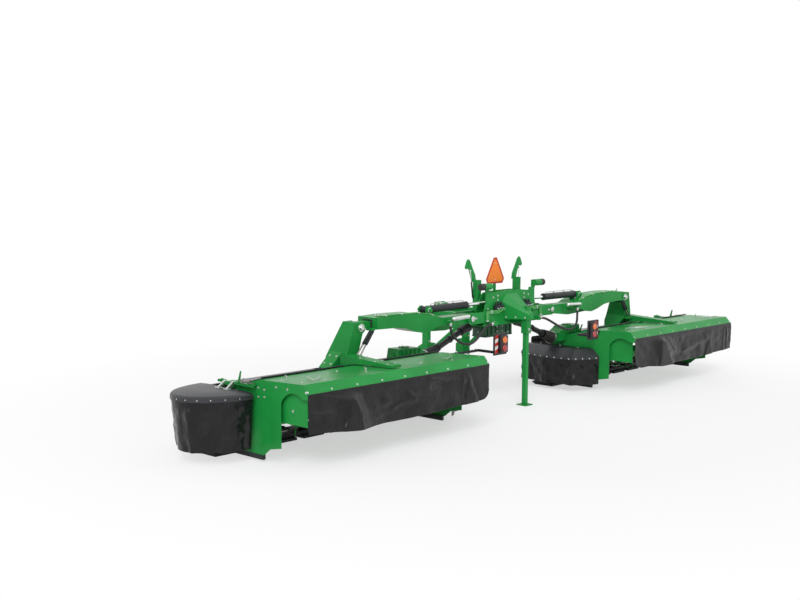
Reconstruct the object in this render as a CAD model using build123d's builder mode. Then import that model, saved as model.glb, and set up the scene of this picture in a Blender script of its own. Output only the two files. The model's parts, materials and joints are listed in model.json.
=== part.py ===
"""Rear-mounted twin-wing disc mower conditioner, in millimetres.

X is to the machine's right, Y is the direction of travel and Z is up. The origin is on the ground,
midway across, in the middle of the machine's depth. The machine is parked: both mower units are
down on their skids and both stands are out. The right wing is modelled, and mirrored for the left.
"""
import os
from math import cos, pi, radians, sin, tan

from build123d import *

os.makedirs("parts", exist_ok=True)

# ---- driving dimensions ---------------------------------------------------------------------
depth = 2335.0              # from the hoods' rear edge to the front of the lower link cheeks
cloth = 8.0                 # thickness that the cloth guards are given
rear_y = -(depth - cloth) / 2   # rear lower edge of the conditioner hoods

# centre frame and its fold pivots
pivot_x = 910.0
pivot_z = 1250.0
arm_y = rear_y + 1050.0     # middle of the arms, their cylinders and the frame's cross beam
arm_depth = 210.0           # at the fold pivot
arm_plates_half_depth = 165.0
arm_root_half_depth = 85.0
beam_half_length = 640.0
beam_z = (1120.0, 1290.0)
lug_thickness = 25.0
lug_radius = 75.0
pivot_pin_radius = 40.0
pin_gap = 0.3               # radial clearance of every pin in its bore
side_gap = 5.0              # between a swinging piece and what it swings past
slide_gap = 0.7             # around a tube that slides in another
seat_gap = 0.3              # between pieces that are bolted together
tube_wall = 10.0            # of the square tubes

# lift cylinders
eye_x = 1710.0
eye_z = 1420.0
anchor_x = 100.0
anchor_z = 1430.0
barrel_length = 835.0
barrel_radius = 48.0
rod_radius = 24.0
rod_length = 831.0
cylinder_pin_radius = 20.0

# telescopic arm and pendulum pin of the mower unit
tube_section = (120.0, 76.0)
tube_z = 1325.0
arm_end_x = 2760.0
tube_inner_x = 1800.0
pendulum_x = 2970.0
pendulum_z = 1300.0
pendulum_pin_radius = 30.0

# mower unit
unit_x = 3200.0
hood_length = 3000.0
wall_thickness = 8.0
sheet = 6.0
inner_wall_x = unit_x - hood_length / 2
outer_wall_x = unit_x + hood_length / 2
hood_rear_z = 832.0
hood_fold = (80.0, 925.0)   # from the rear edge forward, and up
hood_front = (770.0, 900.0)
beam_front = 1340.0
beam_rear = 1120.0
unit_beam_z = (680.0, 800.0)
cover_front = 1850.0
cover_hem_z = 150.0

# cutterbar, discs and conditioner rotor
disc_count = 8
disc_pitch = 437.5
disc_y = rear_y + 1490.0
bar_half_depth = 150.0
bar_z = (30.0, 85.0)
skid_y = (rear_y + 1290.0, rear_y + 1665.0)
skid_width = 330.0
blade_reach = 250.0
rotor_y = rear_y + 980.0
rotor_z = 400.0
rotor_radius = 90.0
finger_reach = 265.0
finger_rows = 4
fingers_per_row = 14

# drive
drive_y = rear_y + 1285.0
joint_x = 560.0
joint_z = 1085.0
input_x = inner_wall_x - 250.0
input_z = 755.0
shaft_radius = 40.0
cone_radius = 75.0
boot_length = 245.0
boot_gap = 3.0

# three-point hitch, category 3
hitch_y = rear_y + depth - 45.0
lower_link_z = 600.0
lower_link_half_spacing = 482.5
lower_pin_radius = 18.3
lower_pin_length = 100.0
top_link_z = 1285.0
top_pin_radius = 16.0
input_shaft_radius = 22.2
input_shaft_length = 110.0

# sleeved hydraulic hoses from the centre frame to each arm
hose_radius = 17.0
hose_y = rear_y + 835.0
hose_route = [(530, 25, 1160), (640, 25, 1160), (800, -5, 1085), (960, -45, 995), (1130, -75, 945),
              (1290, -70, 965), (1400, -35, 1040), (1455, 0, 1140), (1455, 0, 1250)]
hose_clamp = 60.0

# stands
leg_section = 60.0
foot = 160.0
front_leg_x = 345.0
front_leg_y = rear_y + 2130.0
rear_leg_y = rear_y + 700.0
leg_gap = 0.8


# ---- shared shapes --------------------------------------------------------------------------
def block(x_span, y_span, z_span, mode=Mode.ADD):
    """A box between two values on each axis."""
    spans = (x_span, y_span, z_span)
    with Locations(tuple(sum(span) / 2 for span in spans)):
        Box(*[abs(span[1] - span[0]) for span in spans], mode=mode)


def bar(start, end, radius, mode=Mode.ADD):
    """A round bar between two points."""
    axis = Vector(*end) - Vector(*start)
    with Locations(Plane(origin=start, z_dir=axis)):
        Cylinder(radius, axis.length, align=(Align.CENTER, Align.CENTER, Align.MIN), mode=mode)


def side_plate(x, outline, thickness, mode=Mode.ADD):
    """A plate across the machine, from x towards +X, outlined in (y, z)."""
    with BuildSketch(Plane.YZ.offset(x)) as profile:
        with BuildLine():
            Polyline(*outline, close=True)
        make_face()
    extrude(profile.sketch, amount=thickness, mode=mode)


def rear_plate(y, outline, thickness, mode=Mode.ADD):
    """A plate seen from behind, from y forward, outlined in (x, z)."""
    with BuildSketch(Plane.XZ.offset(-y)) as profile:
        with BuildLine():
            Polyline(*outline, close=True)
        make_face()
    extrude(profile.sketch, amount=-thickness, mode=mode)


def both_sides(points):
    """An outline and its mirror image across x = 0, joined."""
    return list(points) + [(-x, z) for x, z in reversed(points)]


def export_pair(builder, name):
    """Write a right-hand piece and its left-hand twin."""
    right = builder.part
    left = mirror(right, about=Plane.YZ)
    for side, solid in (("right", right), ("left", left)):
        solid.label = f"{side}_{name}"
        export_step(solid, f"parts/{side}_{name}.step")


# ---- centre frame ---------------------------------------------------------------------------
beam_half_depth = arm_depth / 2 + side_gap
tower_plate = 20.0
tower_gap = barrel_radius + 15.0
tower_outline = both_sides([(600.0, beam_z[1] - 10), (560.0, 1400.0), (430.0, 1560.0), (180.0, 1580.0)])
bumper_z = 1660.0
bumper_span = (640.0, 720.0)
bumper_radius = 42.0
boss_ring = 46.0
bumper_y = arm_y - barrel_radius - boss_ring - 3 * side_gap   # behind the barrels' swing
sign_y = rear_y + 1253.0
hook_x = 450.0
hook_y = arm_y + 220.0
hook_post_y = (arm_y + beam_half_depth + 5, hook_y - 12)

# rear cover, which narrows to the back like a beak and is open below
with BuildPart() as beak:
    for inset, mode in ((0.0, Mode.ADD), (sheet, Mode.SUBTRACT)):
        front = both_sides([(200 - inset, 1190 - 2 * inset), (200 - inset, 1430 - inset), (120 - inset, 1540 - inset)])
        back = both_sides([(50 - inset, 1200 - 2 * inset), (50 - inset, 1260 - inset), (30 - inset, 1290 - inset)])
        for y, outline in ((arm_y - tower_gap - tower_plate + 2, front), (rear_y + 610 + inset, back)):
            with BuildSketch(Plane.XZ.offset(-y)):
                with BuildLine():
                    Polyline(*outline, close=True)
                make_face()
        loft(mode=mode)

with BuildPart() as centre_frame:
    block((-beam_half_length, beam_half_length),
          (arm_y - beam_half_depth, arm_y + beam_half_depth), beam_z)
    block((-beam_half_length, beam_half_length),
          (arm_y - beam_half_depth + tube_wall, arm_y + beam_half_depth - tube_wall),
          (beam_z[0] + tube_wall, beam_z[1] - tube_wall), mode=Mode.SUBTRACT)
    for side in (-1, 1):
        for face in (-1, 1):
            near = arm_y + face * beam_half_depth
            far = near + face * lug_thickness
            block((side * 450, side * pivot_x), (near, far),
                  (pivot_z - lug_radius, pivot_z + lug_radius))
            bar((side * pivot_x, near, pivot_z), (side * pivot_x, far, pivot_z), lug_radius)
        bar((side * pivot_x, arm_y - beam_half_depth - lug_thickness - 15, pivot_z),
            (side * pivot_x, arm_y + beam_half_depth + lug_thickness + 15, pivot_z), pivot_pin_radius)
        # uprights of the transport hooks
        block((side * (hook_x - 35), side * (hook_x + 35)), hook_post_y, (beam_z[0], 1730))
    # two plates carry the inner ends of the lift cylinders between them
    for near in (arm_y - tower_gap - tower_plate, arm_y + tower_gap):
        rear_plate(near, tower_outline, tower_plate)
    # stems and bosses of the bumpers that the folded arms lean on
    for side in (-1, 1):
        stem_y = arm_y - tower_gap - tower_plate
        block((side * 430, side * 550), (stem_y, stem_y + tower_plate), (1390, 1600))
        block((side * 490, side * 560), (stem_y, stem_y + tower_plate), (1590, bumper_z + 40))
        bar((side * 500, bumper_y, bumper_z), (side * bumper_span[0], bumper_y, bumper_z), boss_ring)
        bar((side * bumper_span[0], bumper_y, bumper_z), (side * bumper_span[1], bumper_y, bumper_z), bumper_radius)
    add(beak.part)
    # socket of the rear stand, its rib inside the cover
    block((-48, 48), (rear_leg_y - 48, rear_leg_y + 48), (1000, 1365))
    block((-10, 10), (rear_leg_y + 40, arm_y - beam_half_depth + 5), (1130, 1280))
    half_leg = leg_section / 2 + leg_gap
    block((-half_leg, half_leg), (rear_leg_y - half_leg, rear_leg_y + half_leg), (990, 1400),
          mode=Mode.SUBTRACT)
    # clamps of the hoses
    for side in (-1, 1):
        end_x, end_y, end_z = hose_route[0]
        block((side * (end_x - hose_clamp), side * end_x),
              (hose_y + end_y - hose_clamp / 2, arm_y - beam_half_depth), (end_z - 25, end_z + 25))
    # bracket and post of the sign
    block((-60, 60), (arm_y + tower_gap + tower_plate - 2, sign_y + 16), (1500, 1540))
    block((-25, 25), (sign_y, sign_y + 16), (1500, 1950))
    # pin heads of the cylinder anchors, outside the plates
    for side in (-1, 1):
        for face in (-1, 1):
            near = arm_y + face * (tower_gap + tower_plate - 2)
            bar((side * anchor_x, near, anchor_z), (side * anchor_x, near + face * 20, anchor_z), 34)
centre_frame.part.label = "centre_frame"
export_step(centre_frame.part, "parts/centre_frame.step")

# ---- transport hooks, one solid on each side --------------------------------------------------
hook_outline = [(-35, 1700), (40, 1700), (75, 1800), (105, 1870), (135, 1905), (165, 1880), (190, 1905),
                (150, 1995), (125, 2015), (95, 1990), (35, 1880), (-20, 1790)]
with BuildPart() as transport_hooks:
    for side in (-1, 1):
        rear_plate(hook_y - 12, [(side * (hook_x + x), z) for x, z in hook_outline], 24)
transport_hooks.part.label = "transport_hooks"
export_step(transport_hooks.part, "parts/transport_hooks.step")

# ---- slow vehicle sign ------------------------------------------------------------------------
sign_thickness = 3.0
sign_outline = both_sides([(170, 1655), (205, 1720), (35, 2020)])
with BuildPart() as slow_sign:
    rear_plate(sign_y - sign_thickness, sign_outline, sign_thickness)
slow_sign.part.label = "slow_sign"
export_step(slow_sign.part, "parts/slow_sign.step")

# ---- headstock with the three-point hitch -----------------------------------------------------
head_y = (rear_y + 2080, rear_y + 2180)
rail_z = (1140.0, 1240.0)
with BuildPart() as headstock:
    block((-470, 470), head_y, (1130, 1250))
    for side in (-1, 1):
        block((side * 410, side * 480), head_y, (540, 1250))
        # rail back to the cross beam
        block((side * 300, side * 380), (arm_y + beam_half_depth, head_y[0]), rail_z)
        # cheek and pin of the lower link
        side_plate(side * 470 - 10, [(head_y[0], 520), (hitch_y + 45, 540), (hitch_y + 45, 660),
                                     (head_y[1], 760), (head_y[0], 760)], 20)
        bar((side * 470, hitch_y, lower_link_z),
            (side * (lower_link_half_spacing + lower_pin_length), hitch_y, lower_link_z),
            lower_pin_radius)
        bar((side * 475, hitch_y, lower_link_z), (side * lower_link_half_spacing, hitch_y, lower_link_z), 34)
        # strut from the post's foot up to the rail
        bar((side * 430, head_y[0] + 30, 620), (side * 345, rear_y + 1480, 1160), 28)
        # socket of the front stand
        block((side * (front_leg_x - 46), side * 420), (front_leg_y - 46, front_leg_y + 46), (560, 760))
        half_leg = leg_section / 2 + leg_gap
        block((side * (front_leg_x - half_leg), side * (front_leg_x + half_leg)),
              (front_leg_y - half_leg, front_leg_y + half_leg), (500, 800), mode=Mode.SUBTRACT)
        # cheek of the top link
        side_plate(side * 46 - 10, [(head_y[0], 1240), (head_y[1], 1240), (hitch_y + 40, 1262),
                                    (hitch_y + 40, 1320), (hitch_y - 60, 1335), (head_y[0], 1290)], 20)
    bar((-60, hitch_y, top_link_z), (60, hitch_y, top_link_z), top_pin_radius, mode=Mode.SUBTRACT)
headstock.part.label = "headstock"
export_step(headstock.part, "parts/headstock.step")

# ---- central gearbox --------------------------------------------------------------------------
gearbox_half = 300.0
with BuildPart() as gearbox:
    block((-gearbox_half, gearbox_half), (drive_y - 115, drive_y + 115), (920, rail_z[0] - seat_gap))
    for side in (-1, 1):
        bar((side * gearbox_half, drive_y, joint_z - 20), (side * (gearbox_half + 60), drive_y, joint_z - 20), 68)
        bar((side * gearbox_half, drive_y, joint_z),
            (side * (joint_x - cone_radius - 0.5), drive_y, joint_z), 30)
    bar((0, drive_y + 115, 1010), (0, drive_y + 175, 1010), 60)
    bar((0, drive_y + 175, 1010), (0, drive_y + 175 + input_shaft_length, 1010), input_shaft_radius)
gearbox.part.label = "gearbox"
export_step(gearbox.part, "parts/gearbox.step")

# ---- stands -----------------------------------------------------------------------------------
foot_thickness = 15.0
with BuildPart() as front_stand:
    for side in (-1, 1):
        x = side * front_leg_x
        block((x - leg_section / 2, x + leg_section / 2),
              (front_leg_y - leg_section / 2, front_leg_y + leg_section / 2), (foot_thickness - 1, 765))
        block((x - foot / 2, x + foot / 2), (front_leg_y - foot / 2, front_leg_y + foot / 2),
              (0, foot_thickness))
    block((-front_leg_x, front_leg_x), (front_leg_y - 20, front_leg_y + 20), (70, 110))
front_stand.part.label = "front_stand"
export_step(front_stand.part, "parts/front_stand.step")

with BuildPart() as rear_stand:
    block((-leg_section / 2, leg_section / 2),
          (rear_leg_y - leg_section / 2, rear_leg_y + leg_section / 2), (foot_thickness - 1, 1345))
    block((-foot / 2, foot / 2), (rear_leg_y - foot / 2, rear_leg_y + foot / 2), (0, foot_thickness))
rear_stand.part.label = "rear_stand"
export_step(rear_stand.part, "parts/rear_stand.step")

# ---- arm --------------------------------------------------------------------------------------
arm_span = (arm_y - arm_depth / 2, arm_y + arm_depth / 2)
root_outline = [(pivot_x, pivot_z - 58), (1400, 1135), (1900, 1158), (1900, 1330), (1500, 1305),
                (pivot_x, pivot_z + 58)]
plates_outline = [(1350, 1240), (1440, 1215), (1650, 1205), (1780, 1166), (1910, 1152), (2050, 1178),
                  (2250, 1238), (2420, 1258), (arm_end_x, 1266), (arm_end_x, 1405), (2440, 1414),
                  (2000, 1404), (1830, 1380), (1590, 1330)]
ear_gap = barrel_radius + 6.0
ear_thickness = 20.0
with BuildPart() as arm:
    rear_plate(arm_y - arm_root_half_depth, root_outline, 2 * arm_root_half_depth)
    rear_plate(arm_y - arm_plates_half_depth, plates_outline, 2 * arm_plates_half_depth)
    bar((pivot_x, arm_span[0], pivot_z), (pivot_x, arm_span[1], pivot_z), lug_radius - 8)
    bar((pivot_x, arm_span[0] - 1, pivot_z), (pivot_x, arm_span[1] + 1, pivot_z),
        pivot_pin_radius + pin_gap, mode=Mode.SUBTRACT)
    # cavity of the sliding tube
    block((tube_inner_x - 60, arm_end_x + 1),
          (arm_y - tube_section[0] / 2 - slide_gap, arm_y + tube_section[0] / 2 + slide_gap),
          (tube_z - tube_section[1] / 2 - slide_gap, tube_z + tube_section[1] / 2 + slide_gap),
          mode=Mode.SUBTRACT)
    # ears and pin of the lift cylinder's barrel
    for face in (-1, 1):
        near = arm_y + face * ear_gap
        far = near + face * ear_thickness
        bar((eye_x, near, eye_z), (eye_x, far, eye_z), 52)
        block((eye_x - 52, eye_x + 52), (near, far), (1340, eye_z))
    bar((eye_x, arm_y - ear_gap - ear_thickness - 40, eye_z),
        (eye_x, arm_y + ear_gap + ear_thickness + 40, eye_z), cylinder_pin_radius)
    # clamp of the hoses
    end_x, end_y, end_z = hose_route[-1]
    block((end_x - hose_clamp / 2, end_x + hose_clamp / 2),
          (hose_y + end_y - hose_clamp / 2, arm_y - arm_plates_half_depth + 20), (end_z, end_z + 30))
export_pair(arm, "arm")

# ---- hoses, plain tubes of straight runs joined by arcs -------------------------------------------
route = [Vector(x, hose_y + y, z) for x, y, z in hose_route]
radii = []
for before, corner, after in zip(route, route[1:], route[2:]):
    turn = radians((corner - before).get_angle(after - corner))
    shorter = min((corner - before).length, (after - corner).length)
    radii.append(0.45 * shorter / tan(turn / 2))
with BuildPart() as hose:
    with BuildLine() as hose_path:
        FilletPolyline(*route, radius=radii)
    with BuildSketch(Plane(origin=route[0], z_dir=route[1] - route[0])):
        Circle(hose_radius)
    sweep()
export_pair(hose, "hose")
hose_length = hose_path.wires()[0].length
print("hose bends", [round(r) for r in radii], "length", round(hose_length),
      "volume ratio", round(hose.part.volume / (pi * hose_radius ** 2 * hose_length), 4))

# ---- sliding tube -----------------------------------------------------------------------------
boss_radius = 62.0
boss_half = 72.0
with BuildPart() as slide_tube:
    block((tube_inner_x, pendulum_x - 20),
          (arm_y - tube_section[0] / 2, arm_y + tube_section[0] / 2),
          (tube_z - tube_section[1] / 2, tube_z + tube_section[1] / 2))
    bar((pendulum_x, arm_y - boss_half, pendulum_z), (pendulum_x, arm_y + boss_half, pendulum_z), boss_radius)
    bar((pendulum_x, arm_y - boss_half - 1, pendulum_z), (pendulum_x, arm_y + boss_half + 1, pendulum_z),
        pendulum_pin_radius + pin_gap, mode=Mode.SUBTRACT)
export_pair(slide_tube, "slide_tube")

# ---- lift cylinder ----------------------------------------------------------------------------
eye = Vector(eye_x, arm_y, eye_z)
anchor = Vector(anchor_x, arm_y, anchor_z)
pull = (anchor - eye).normalized()
with BuildPart() as lift_barrel:
    bar((eye_x, arm_y - ear_gap + 2, eye_z), (eye_x, arm_y + ear_gap - 2, eye_z), 44)
    bar(tuple(eye + pull * 30), tuple(eye + pull * barrel_length), barrel_radius)
    bar(tuple(eye + pull * 55), tuple(eye + pull * (barrel_length + 1)), rod_radius + pin_gap,
        mode=Mode.SUBTRACT)
    bar((eye_x, arm_y - ear_gap, eye_z), (eye_x, arm_y + ear_gap, eye_z),
        cylinder_pin_radius + pin_gap, mode=Mode.SUBTRACT)
export_pair(lift_barrel, "lift_barrel")

with BuildPart() as lift_rod:
    bar(tuple(anchor - pull * rod_length), tuple(anchor - pull * 20), rod_radius)
    bar((anchor_x, arm_y - 30, anchor_z), (anchor_x, arm_y + 30, anchor_z), 38)
    bar((anchor_x, arm_y - 31, anchor_z), (anchor_x, arm_y + 31, anchor_z), cylinder_pin_radius,
        mode=Mode.SUBTRACT)
export_pair(lift_rod, "lift_rod")

# ---- drive shaft and the rubber boot of its outer joint -----------------------------------------
joint = Vector(joint_x, drive_y, joint_z)
drive_input = Vector(input_x, drive_y, input_z)
drive_way = (drive_input - joint).normalized()
drive_length = (drive_input - joint).length
shaft_end = drive_length - boot_length - boot_gap
with BuildPart() as drive_shaft:
    with BuildSketch(Plane(origin=joint, x_dir=drive_way, z_dir=(0, -1, 0))):
        with BuildLine():
            CenterArc((0, 0), cone_radius, 90, 90)
            Polyline((0, cone_radius), (150, 56), (150, shaft_radius), (shaft_end, shaft_radius),
                     (shaft_end, 0), (-cone_radius, 0))
        make_face()
    revolve(axis=Axis(tuple(joint), tuple(drive_way)))
    # pin of the joint's cross
    bar((joint_x, drive_y - cone_radius - 7, joint_z), (joint_x, drive_y + cone_radius + 7, joint_z), 17)
export_pair(drive_shaft, "drive_shaft")

with BuildPart() as shaft_boot:
    mouth = joint + drive_way * (drive_length - boot_length - seat_gap)
    with BuildSketch(Plane(origin=mouth, z_dir=drive_way)):
        Circle(62)
    with BuildSketch(Plane(origin=mouth + drive_way * boot_length, z_dir=drive_way)):
        Circle(95)
    loft()
export_pair(shaft_boot, "shaft_boot")

# ---- unit frame: beam, pendulum post, gear housing and brace ------------------------------------
post_x = (2935.0, 3200.0)
post_foot_x = 3385.0
cheek_gap = boss_half + side_gap
cheek = 25.0
brace_x = (3100.0, 3260.0)
housing_half_depth = 100.0
housing_outline = [(input_x + 60, 705), (input_x + 50, 830), (inner_wall_x - 90, 880), (inner_wall_x - 40, 915),
                   (inner_wall_x + 340, 925), (inner_wall_x + 365, 797), (inner_wall_x - 5, 797),
                   (inner_wall_x - 5, 705)]
# post, which leans back from the beam to the pendulum pin and forks round the sliding tube
with BuildPart() as post:
    rear_plate(rear_y + 900, [(post_x[0], 1240), (pendulum_x - 20, 1372), (3080, 1372), (post_x[1], 950),
                              (post_x[1], 790), (post_x[0] + 55, 790), (post_x[0] + 55, 1000)], 500)
    side_plate(post_x[0] - 50, [(rear_y + 948, 1372), (rear_y + 1152, 1372), (rear_y + 1295, 1010),
                                (rear_y + 1335, 900), (rear_y + 1335, 790), (rear_y + 1125, 790), (rear_y + 1122, 818),
                                (rear_y + 1050, 880), (rear_y + 975, 960)], 400, mode=Mode.INTERSECT)
    block((post_x[0] - 60, pendulum_x + 75), (arm_y - cheek_gap, arm_y + cheek_gap), (1215, 1400),
          mode=Mode.SUBTRACT)
with BuildPart() as unit_frame:
    block((inner_wall_x + wall_thickness + 0.5, outer_wall_x - wall_thickness - 0.5),
          (rear_y + beam_rear, rear_y + beam_front), unit_beam_z)
    block((inner_wall_x, outer_wall_x),
          (rear_y + beam_rear + tube_wall, rear_y + beam_front - tube_wall),
          (unit_beam_z[0] + tube_wall, unit_beam_z[1] - tube_wall), mode=Mode.SUBTRACT)
    add(post.part)
    for face in (-1, 1):
        near = arm_y + face * cheek_gap
        bar((pendulum_x, near, pendulum_z), (pendulum_x, near + face * cheek, pendulum_z), 72)
    # gusset on the outer side of the post's foot
    rear_plate(rear_y + 1060, [(3140, 1025), (3170, 1025), (post_foot_x, 838), (3140, 838)], 190)
    bar((pendulum_x, arm_y - cheek_gap - cheek - 20, pendulum_z),
        (pendulum_x, arm_y + cheek_gap + cheek + 20, pendulum_z), pendulum_pin_radius)
    # gear housing at the inner end
    rear_plate(drive_y - housing_half_depth, housing_outline, 2 * housing_half_depth)
    bar(tuple(drive_input), tuple(drive_input + drive_way * 90), 60)
    # brace over the hood
    side_plate(brace_x[0], [(rear_y + 1010, 1002), (rear_y + 1010, 856), (rear_y + 780, 914),
                            (rear_y + 180, 930), (rear_y + 180, 958)], brace_x[1] - brace_x[0])
    # hinge block and pin of the outer guard
    block((outer_wall_x - 60, outer_wall_x + 52), (rear_y + 1190, rear_y + 1290), (790, 830))
    bar((outer_wall_x + 40, rear_y + 1150, 815), (outer_wall_x + 40, rear_y + 1330, 815), 12)
export_pair(unit_frame, "unit_frame")

# ---- hood -------------------------------------------------------------------------------------
hood_line = [(0, hood_rear_z), hood_fold, hood_front, (beam_rear - 3, unit_beam_z[1] + 6)]
with BuildPart() as hood:
    with BuildSketch(Plane.YZ.offset(inner_wall_x + wall_thickness + 0.5)) as hood_profile:
        with BuildLine():
            outer = [(rear_y + y, z) for y, z in hood_line]
            inner = [(rear_y + 8, hood_rear_z), (rear_y + hood_fold[0] + 3, hood_fold[1] - sheet),
                     (rear_y + hood_front[0] - 2, hood_front[1] - sheet),
                     (rear_y + beam_rear - 3, unit_beam_z[1] - 2)]
            Polyline(*(outer + inner[::-1]), close=True)
        make_face()
    extrude(amount=hood_length - 2 * wall_thickness - 1)
export_pair(hood, "hood")

# ---- side walls with their swath boards ---------------------------------------------------------
wall_line = [(0, hood_rear_z - 60), (0, hood_rear_z), hood_fold, hood_front, (1120, 806), (1445, 700),
             (1445, 260), (1205, 230), (1205, bar_z[1] + 0.5), (700, bar_z[1] + 0.5), (600, 165), (425, 200),
             (425, 690)]
bearing_radius = 25.0
with BuildPart() as side_walls:
    for x in (inner_wall_x, outer_wall_x - wall_thickness):
        with BuildSketch(Plane.YZ.offset(x)) as wall_profile:
            with BuildLine() as wall_edge:
                Polyline(*[(rear_y + y, z) for y, z in wall_line])
                ThreePointArc((rear_y + 425, 690), (rear_y + 250, 815), (rear_y + 90, 770))
                Line((rear_y + 90, 770), (rear_y, hood_rear_z - 60))
            make_face()
        extrude(wall_profile.sketch, amount=wall_thickness)
    for inside, x in ((1, inner_wall_x + wall_thickness), (-1, outer_wall_x - wall_thickness)):
        # swath board on two spacers, and the rotor's bearing
        side_plate(min(x + inside * 40, x + inside * 46),
                   [(rear_y + 60, 470), (rear_y + 60, 820), (rear_y + 520, 820), (rear_y + 640, 470)], 6)
        for y, z in ((500, 760), (560, 500)):
            bar((x, rear_y + y, z), (x + inside * 42, rear_y + y, z), 12)
        bar((x - inside * 4, rotor_y, rotor_z), (x + inside * 22, rotor_y, rotor_z), 60)
        bar((x - inside * 9, rotor_y, rotor_z), (x + inside * 23, rotor_y, rotor_z),
            bearing_radius + pin_gap, mode=Mode.SUBTRACT)
export_pair(side_walls, "side_walls")

# ---- conditioner rotor --------------------------------------------------------------------------
rotor_span = (inner_wall_x + wall_thickness + 30, outer_wall_x - wall_thickness - 30)
with BuildPart() as rotor:
    bar((rotor_span[0], rotor_y, rotor_z), (rotor_span[1], rotor_y, rotor_z), rotor_radius)
    bar((inner_wall_x, rotor_y, rotor_z), (outer_wall_x, rotor_y, rotor_z), bearing_radius)
    pitch = (rotor_span[1] - rotor_span[0] - 80) / (fingers_per_row - 1)
    for row in range(finger_rows):
        turn = row * 360 / finger_rows
        for place in range(fingers_per_row):
            x = rotor_span[0] + 40 + place * pitch
            lean = radians(turn + 10 * place)
            foot_at = (x, rotor_y + cos(lean) * (rotor_radius - 8), rotor_z + sin(lean) * (rotor_radius - 8))
            tip = (x, rotor_y + cos(lean) * finger_reach, rotor_z + sin(lean) * finger_reach)
            bar(foot_at, tip, 9)
export_pair(rotor, "rotor")

# ---- cutterbar with skids -----------------------------------------------------------------------
disc_x = [unit_x + (i - (disc_count - 1) / 2) * disc_pitch for i in range(disc_count)]
bar_ends = (min(disc_x[0] - 190, inner_wall_x), max(disc_x[-1] + 190, outer_wall_x))
post_top = bar_z[1] + 10.0
with BuildPart() as cutterbar:
    block(bar_ends, (disc_y - bar_half_depth, disc_y + bar_half_depth), bar_z)
    fillet(cutterbar.edges().filter_by(Axis.Z), 60)
    for x in disc_x:
        bar((x, disc_y, bar_z[0]), (x, disc_y, post_top), 55)
        side_plate(x - skid_width / 2, [(skid_y[0], 0), (skid_y[1] - 60, 0), (skid_y[1], 30), (skid_y[1], 42),
                                        (skid_y[0], 32)], skid_width)
    for x in (inner_wall_x, outer_wall_x - 40):
        block((x, x + 40), (rear_y + 720, disc_y), bar_z)
export_pair(cutterbar, "cutterbar")

# ---- discs --------------------------------------------------------------------------------------
disc_z = (post_top + 0.5, post_top + 75)
for number, x in enumerate(disc_x, start=1):
    with BuildPart() as disc:
        bar((x, disc_y, disc_z[0]), (x, disc_y, disc_z[1]), 62)
        turned = 90 * (number % 2)
        with BuildSketch(Plane(origin=(x, disc_y, disc_z[0] + 14), x_dir=Vector(1, 0, 0).rotate(Axis.Z, turned))):
            Ellipse(185, 132)
        extrude(amount=14)
        with BuildSketch(Plane(origin=(x, disc_y, disc_z[0] + 28), x_dir=Vector(1, 0, 0).rotate(Axis.Z, turned))):
            Ellipse(150, 105)
        extrude(amount=22, taper=40)
        for end in (-1, 1):
            with BuildSketch(Plane(origin=(x, disc_y, disc_z[0] + 10),
                                   x_dir=Vector(1, 0, 0).rotate(Axis.Z, turned))):
                with Locations((end * (blade_reach - 50), 0)):
                    Rectangle(100, 48)
            extrude(amount=5)
    export_pair(disc, f"disc_{number}")

# ---- front cover, a cloth roof over the discs with its hanging front ------------------------------
cover_line = [(hood_front[0] + 15, hood_front[1] + 7), (beam_rear - 10, unit_beam_z[1] + 16),
              (beam_front + 10, unit_beam_z[1] + 12), (cover_front, 700)]
with BuildPart() as front_cover:
    top_edge = [(rear_y + y, z) for y, z in cover_line] + [(rear_y + cover_front, cover_hem_z)]
    low_edge = [(rear_y + cover_front - cloth, cover_hem_z), (rear_y + cover_front - cloth, 700 - 8)]
    low_edge += [(rear_y + y, z - cloth) for y, z in reversed(cover_line[:3])]
    side_plate(inner_wall_x + 12, top_edge + low_edge, hood_length - 24)
    block((post_x[0] + 40, post_foot_x + 12), (rear_y + 1040, rear_y + 1352), (700, 1000), mode=Mode.SUBTRACT)
    block((inner_wall_x, inner_wall_x + 380), (drive_y - 115, drive_y + 115), (700, 1000), mode=Mode.SUBTRACT)
    block((outer_wall_x - 75, outer_wall_x + 10), (rear_y + 1175, rear_y + 1305), (700, 1000),
          mode=Mode.SUBTRACT)
export_pair(front_cover, "front_cover")

# ---- rear curtain -------------------------------------------------------------------------------
curtain_hem_z = 385.0
with BuildPart() as rear_curtain:
    block((inner_wall_x, outer_wall_x + 10), (rear_y - cloth, rear_y - 0.5),
          (curtain_hem_z, hood_rear_z + 5))
export_pair(rear_curtain, "rear_curtain")

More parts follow.
